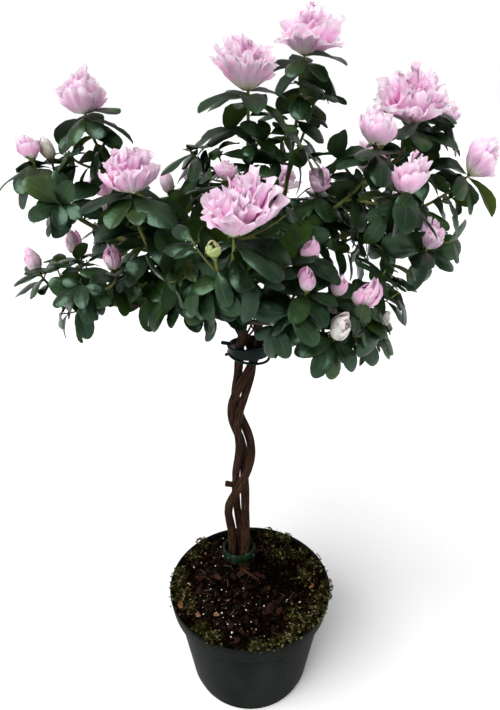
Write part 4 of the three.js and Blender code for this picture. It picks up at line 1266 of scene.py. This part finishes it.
# A ring of petals: how many, their angles from the axis at the base, the middle and the rim, their length
# and ruffle as shares of the bloom's width, their half spread and twist, and their tone.
BLOOM_FORMS = {
    "fan": [
        (5, 60, 46, 34, 0.62, 0.05, 52, 0, "petal_cupped"),
        (5, 50, 38, 28, 0.68, 0.06, 52, 0, "petal_cupped"),
        (5, 40, 26, 24, 0.7, 0.07, 52, 4, "petal_inner"), (5, 28, 12, 20, 0.71, 0.08, 54, 6, "petal_inner"),
        (4, 12, 0, 14, 0.7, 0.085, 62, 10, "petal_heart")],
    "rose": [
        (5, 74, 58, 74, 0.57, 0.06, 50, 0, "petal_skirt"), (5, 70, 46, 20, 0.62, 0.06, 52, 0, "petal_cupped"),
        (5, 56, 32, 16, 0.64, 0.07, 52, 4, "petal_inner"), (5, 38, 16, 18, 0.66, 0.08, 54, 6, "petal_inner"),
        (4, 14, 0, 14, 0.65, 0.085, 62, 10, "petal_heart")],
    "cup": [
        (5, 84, 48, 6, 0.6, 0.04, 52, 0, "petal_cupped"), (5, 74, 36, 12, 0.62, 0.055, 52, 0, "petal_cupped"),
        (5, 56, 22, 16, 0.63, 0.07, 52, 5, "petal_inner"), (5, 36, 8, 16, 0.64, 0.08, 54, 8, "petal_inner"),
        (4, 14, 0, 12, 0.63, 0.085, 62, 12, "petal_heart")],
    "half": [
        (5, 58, 34, 0, 0.78, 0.035, 56, 0, "petal_cupped"),
        (5, 46, 24, 4, 0.84, 0.045, 56, 6, "petal_cupped"),
        (5, 30, 12, 6, 0.86, 0.055, 54, 8, "petal_inner"), (4, 12, 0, 6, 0.84, 0.065, 62, 12, "petal_heart")],
    "bud": [
        (5, 60, 10, -50, 1.4, 0.012, 52, 24, "bud_outer"), (5, 48, 4, -40, 1.48, 0.02, 52, 30, "bud_inner"),
        (4, 28, 0, -24, 1.42, 0.03, 56, 38, "bud_inner")],
    "green": [
        (4, 62, 14, -76, 1.25, 0.008, 64, 20, "bud_green"),
        (4, 48, 6, -72, 1.36, 0.008, 62, 30, "bud_green")]}
OPEN_FORMS = {
    "top": "rose", "top_front": "fan", "left_high": "cup", "left_middle": "cup", "front": "fan",
    "right_high": "rose", "right_tip": "half", "back_high": "rose", "back_left": "cup",
    "back_right": "fan", "back_low": "rose"}
# Single buds, by the bearing and reach of their shoots.
AGED_BUDS = {(181, 132): "petal_faded", (322, 104): "petal_faded", (299, 104): "petal_pale"}
FURLED_BUDS = ((299, 104), (311, 100))  # wide ones that are still furled
PEDICEL = {"open": 0, "half": 0.5, "bud": 0.5, "green": 0.5}  # stalk under a bloom
PETAL_ROWS = (0, 0.25, 0.48, 0.68, 0.84, 0.94, 1)
PETAL_COLUMNS = {"open": 20, "half": 16, "bud": 10, "green": 8}
CRUMPLES = ((0.12, 0.062), (0.38, 0.038))  # waves in each millimetre, and depth as a share of the width
CRUMPLE_SEED = 12
PLEATS, PLEAT_DEPTH = 16, 0.016
WIDTH_FULLY_RUFFLED = 30  # narrower blooms are less ruffled
LOPSIDED = 0.19  # how much fuller a bloom is on one side
PROFILE_STEPS = 28


def bent_petals(petals, shape):
    """Every corner of every petal, bent along its ring's profile and ruffled towards its rim."""
    x, y, side = shape.T[:, None]
    width, phase, closed = (column(petals, key) for key in ("width", "phase", "closed"))
    base, middle, rim = (column(petals, key) for key in ("base", "middle", "rim"))
    steps = np.linspace(0, 1, PROFILE_STEPS + 1)[None]
    angle = np.radians(base * (1 - steps) * (1 - 2 * steps) + middle * 4 * steps * (1 - steps)
                       + rim * steps * (2 * steps - 1))
    gap = column(petals, "length") * width / PROFILE_STEPS
    out = np.cumsum(np.sin(angle) * gap, axis=1) + 0.05 * width
    up = np.cumsum(np.cos(angle) * gap, axis=1) - 0.04 * width
    frill = 0.03 * np.sin(10 * y + 1.3 * phase)
    place = x * (1 - 0.3 * (1 - np.sqrt(1 - 0.96 * y ** 2)) * x + frill * x ** 3)
    place = np.clip(place, 0, 1) * (PROFILE_STEPS - 0.001)
    low = place.astype(int)
    part = place - low
    one = np.arange(len(petals))[:, None]
    radius = out[one, low] * (1 - part) + out[one, low + 1] * part
    height = up[one, low] * (1 - part) + up[one, low + 1] * part
    calmed = np.clip(width / WIDTH_FULLY_RUFFLED, 0.35, 1)
    ruffle = column(petals, "ruffle") * calmed * width * x ** 2.5
    wave = 0.7 * np.sin(11.5 * y + phase) + 0.8 * np.sin(4.7 * y + 2.3 * phase)
    pleats = PLEAT_DEPTH * width * np.sin(PLEATS * y + phase) * x * (1 - closed)
    radius = np.maximum(radius + ruffle * wave + pleats - 0.12 * side, 0.1)
    height = height + 0.7 * ruffle * np.cos(9.3 * y + 1.7 * phase)
    widening = np.clip(x / 0.6, 0, 1)
    spread = (0.4 + 0.6 * widening ** 2 * (3 - 2 * widening)) * (1 - 0.22 * x ** 3)
    turn = np.radians(column(petals, "bearing") + column(petals, "twist") * x
                      + y * column(petals, "spread") * spread)
    swell = 1 + LOPSIDED * np.cos(turn - np.radians(column(petals, "fullest")))
    right, front, axis, spot = (column(petals, key) for key in ("right", "front", "axis", "spot"))
    bent = (spot + right * (radius * swell * np.cos(turn))[..., None]
            + front * (radius * swell * np.sin(turn))[..., None] + axis * (height * swell)[..., None])
    loose = np.clip(1.5 * x - 0.2, 0, 1) * calmed * (1 - 0.5 * closed)
    return bent + crumpled(bent) * (width * loose)[..., None]


def crumpled(places):
    """How far each place is pushed aside, the same for neighbours, as a share of the bloom's width."""
    pushed = [sum((deep * noise.noise_vector(place * waves) for waves, deep in CRUMPLES), Vector())
              for place in map(Vector, places.reshape(-1, 3))]
    return np.array(pushed).reshape(places.shape)


noise.seed_set(CRUMPLE_SEED)
bloom_chance = np.random.default_rng(41)
petals = []
for name, shoot, line, turn in blooms:
    carries, width = shoot[3], shoot[4]
    furled = shoot[:2] in FURLED_BUDS
    form = OPEN_FORMS[name] if carries == "open" else "bud" if furled else carries
    axis = line.heading(1)
    right = axis.orthogonal().normalized()
    fullest = bloom_chance.uniform(0, 360)
    for count, base, middle, rim, length, ruffle, spread, twist, tone in BLOOM_FORMS[form]:
        turn += 180 / count + 11
        for number in range(count):
            petals.append({
                "spot": line.at(1) + axis * PEDICEL[carries], "axis": axis, "right": right,
                "front": axis.cross(right), "width": width, "fullest": fullest,
                "closed": furled or carries in ("bud", "green"),
                "bearing": turn + 360 * number / count + bloom_chance.uniform(-9, 9),
                "base": base, "middle": middle + bloom_chance.uniform(-9, 9),
                "rim": rim + bloom_chance.uniform(-16, 16),
                "length": length * bloom_chance.uniform(0.86, 1.07), "spread": spread, "twist": twist,
                "ruffle": ruffle * bloom_chance.uniform(0.7, 1.3), "phase": bloom_chance.uniform(0, 6.3),
                "tone": AGED_BUDS.get(shoot[:2], tone), "kind": carries})


def petal_finish(name, stops):
    """A thin petal, coloured along its length, with the colours drawn out into fine streaks and pleats."""
    material = plain_finish(name, stops[-1][1], 0.6, 0.3, Subsurface_Weight=0.6, Subsurface_Scale=0.003,
                            Subsurface_Radius=(1, 0.6, 0.8))
    along = add_node(material, "SeparateXYZ", "Y", Vector=coordinates(material, "UV"))
    streak = clouds(material, 1.0, 3.0, "UV", (14, 1.2, 1))
    shifted = calculated(material, "MULTIPLY_ADD", streak, 0.44, along)
    shade(material,
          Base_Color=ramp_of(material, calculated(material, "SUBTRACT", shifted, 0.22), stops),
          Normal=add_node(material, "Bump", "Normal", Strength=0.7, Distance=0.8 * METRES, Height=streak))
    return material


tones = list(PETAL_TONES)
petal_finishes = [petal_finish(tone, PETAL_TONES[tone]) for tone in tones]
for kind, columns in PETAL_COLUMNS.items():
    petal_shape, petal_faces, _ = two_faced_blade(PETAL_ROWS, columns)
    group = [petal for petal in petals if petal["kind"] == kind]
    numbers = np.array([tones.index(petal["tone"]) for petal in group])
    joined_blades(
        "petals_" + kind, bent_petals(group, petal_shape), petal_faces,
        np.repeat(numbers[:, None], len(petal_faces), axis=1), petal_shape, petal_finishes)

# Bud scales and sepals hold the foot of each bloom.
SCALES = 9
GIRTH = {"open": 0.1, "half": 0.2, "bud": 0.4, "green": 0.4}  # as a share of a bloom's width
scales = []
for _, shoot, line, turn in blooms:
    carries, width = shoot[3], shoot[4]
    axis = line.heading(1)
    for number in range(SCALES):
        bearing = math.radians(turn + number * GOLDEN_ANGLE)
        outward = Matrix.Rotation(bearing, 3, axis) @ axis.orthogonal().normalized()
        lean = bloom_chance.uniform(0.5, 0.95) if carries in ("open", "half") else 0.35
        scales.append(blade(
            line.at(1) - axis * (2.5 - 0.2 * number) + outward * 0.4, (axis + lean * outward).normalized(),
            axis, (width * GIRTH[carries] + 3) * bloom_chance.uniform(0.8, 1.25)))
scale_shape, scale_faces, _ = two_faced_blade((0, 0.35, 0.7, 1), 2)
scale_finishes = [
    grainy_finish("scale_brown", (0.06, 0.028, 0.01), 0.7),
    grainy_finish("scale_green", (0.14, 0.17, 0.035), 0.6)]
scale_tones = bloom_chance.choice(2, len(scales), p=[0.5, 0.5])
joined_blades(
    "bud_scales", bent_leaves(scales, scale_shape, bloom_chance), scale_faces,
    np.repeat(scale_tones[:, None], len(scale_faces), axis=1), scale_shape, scale_finishes)
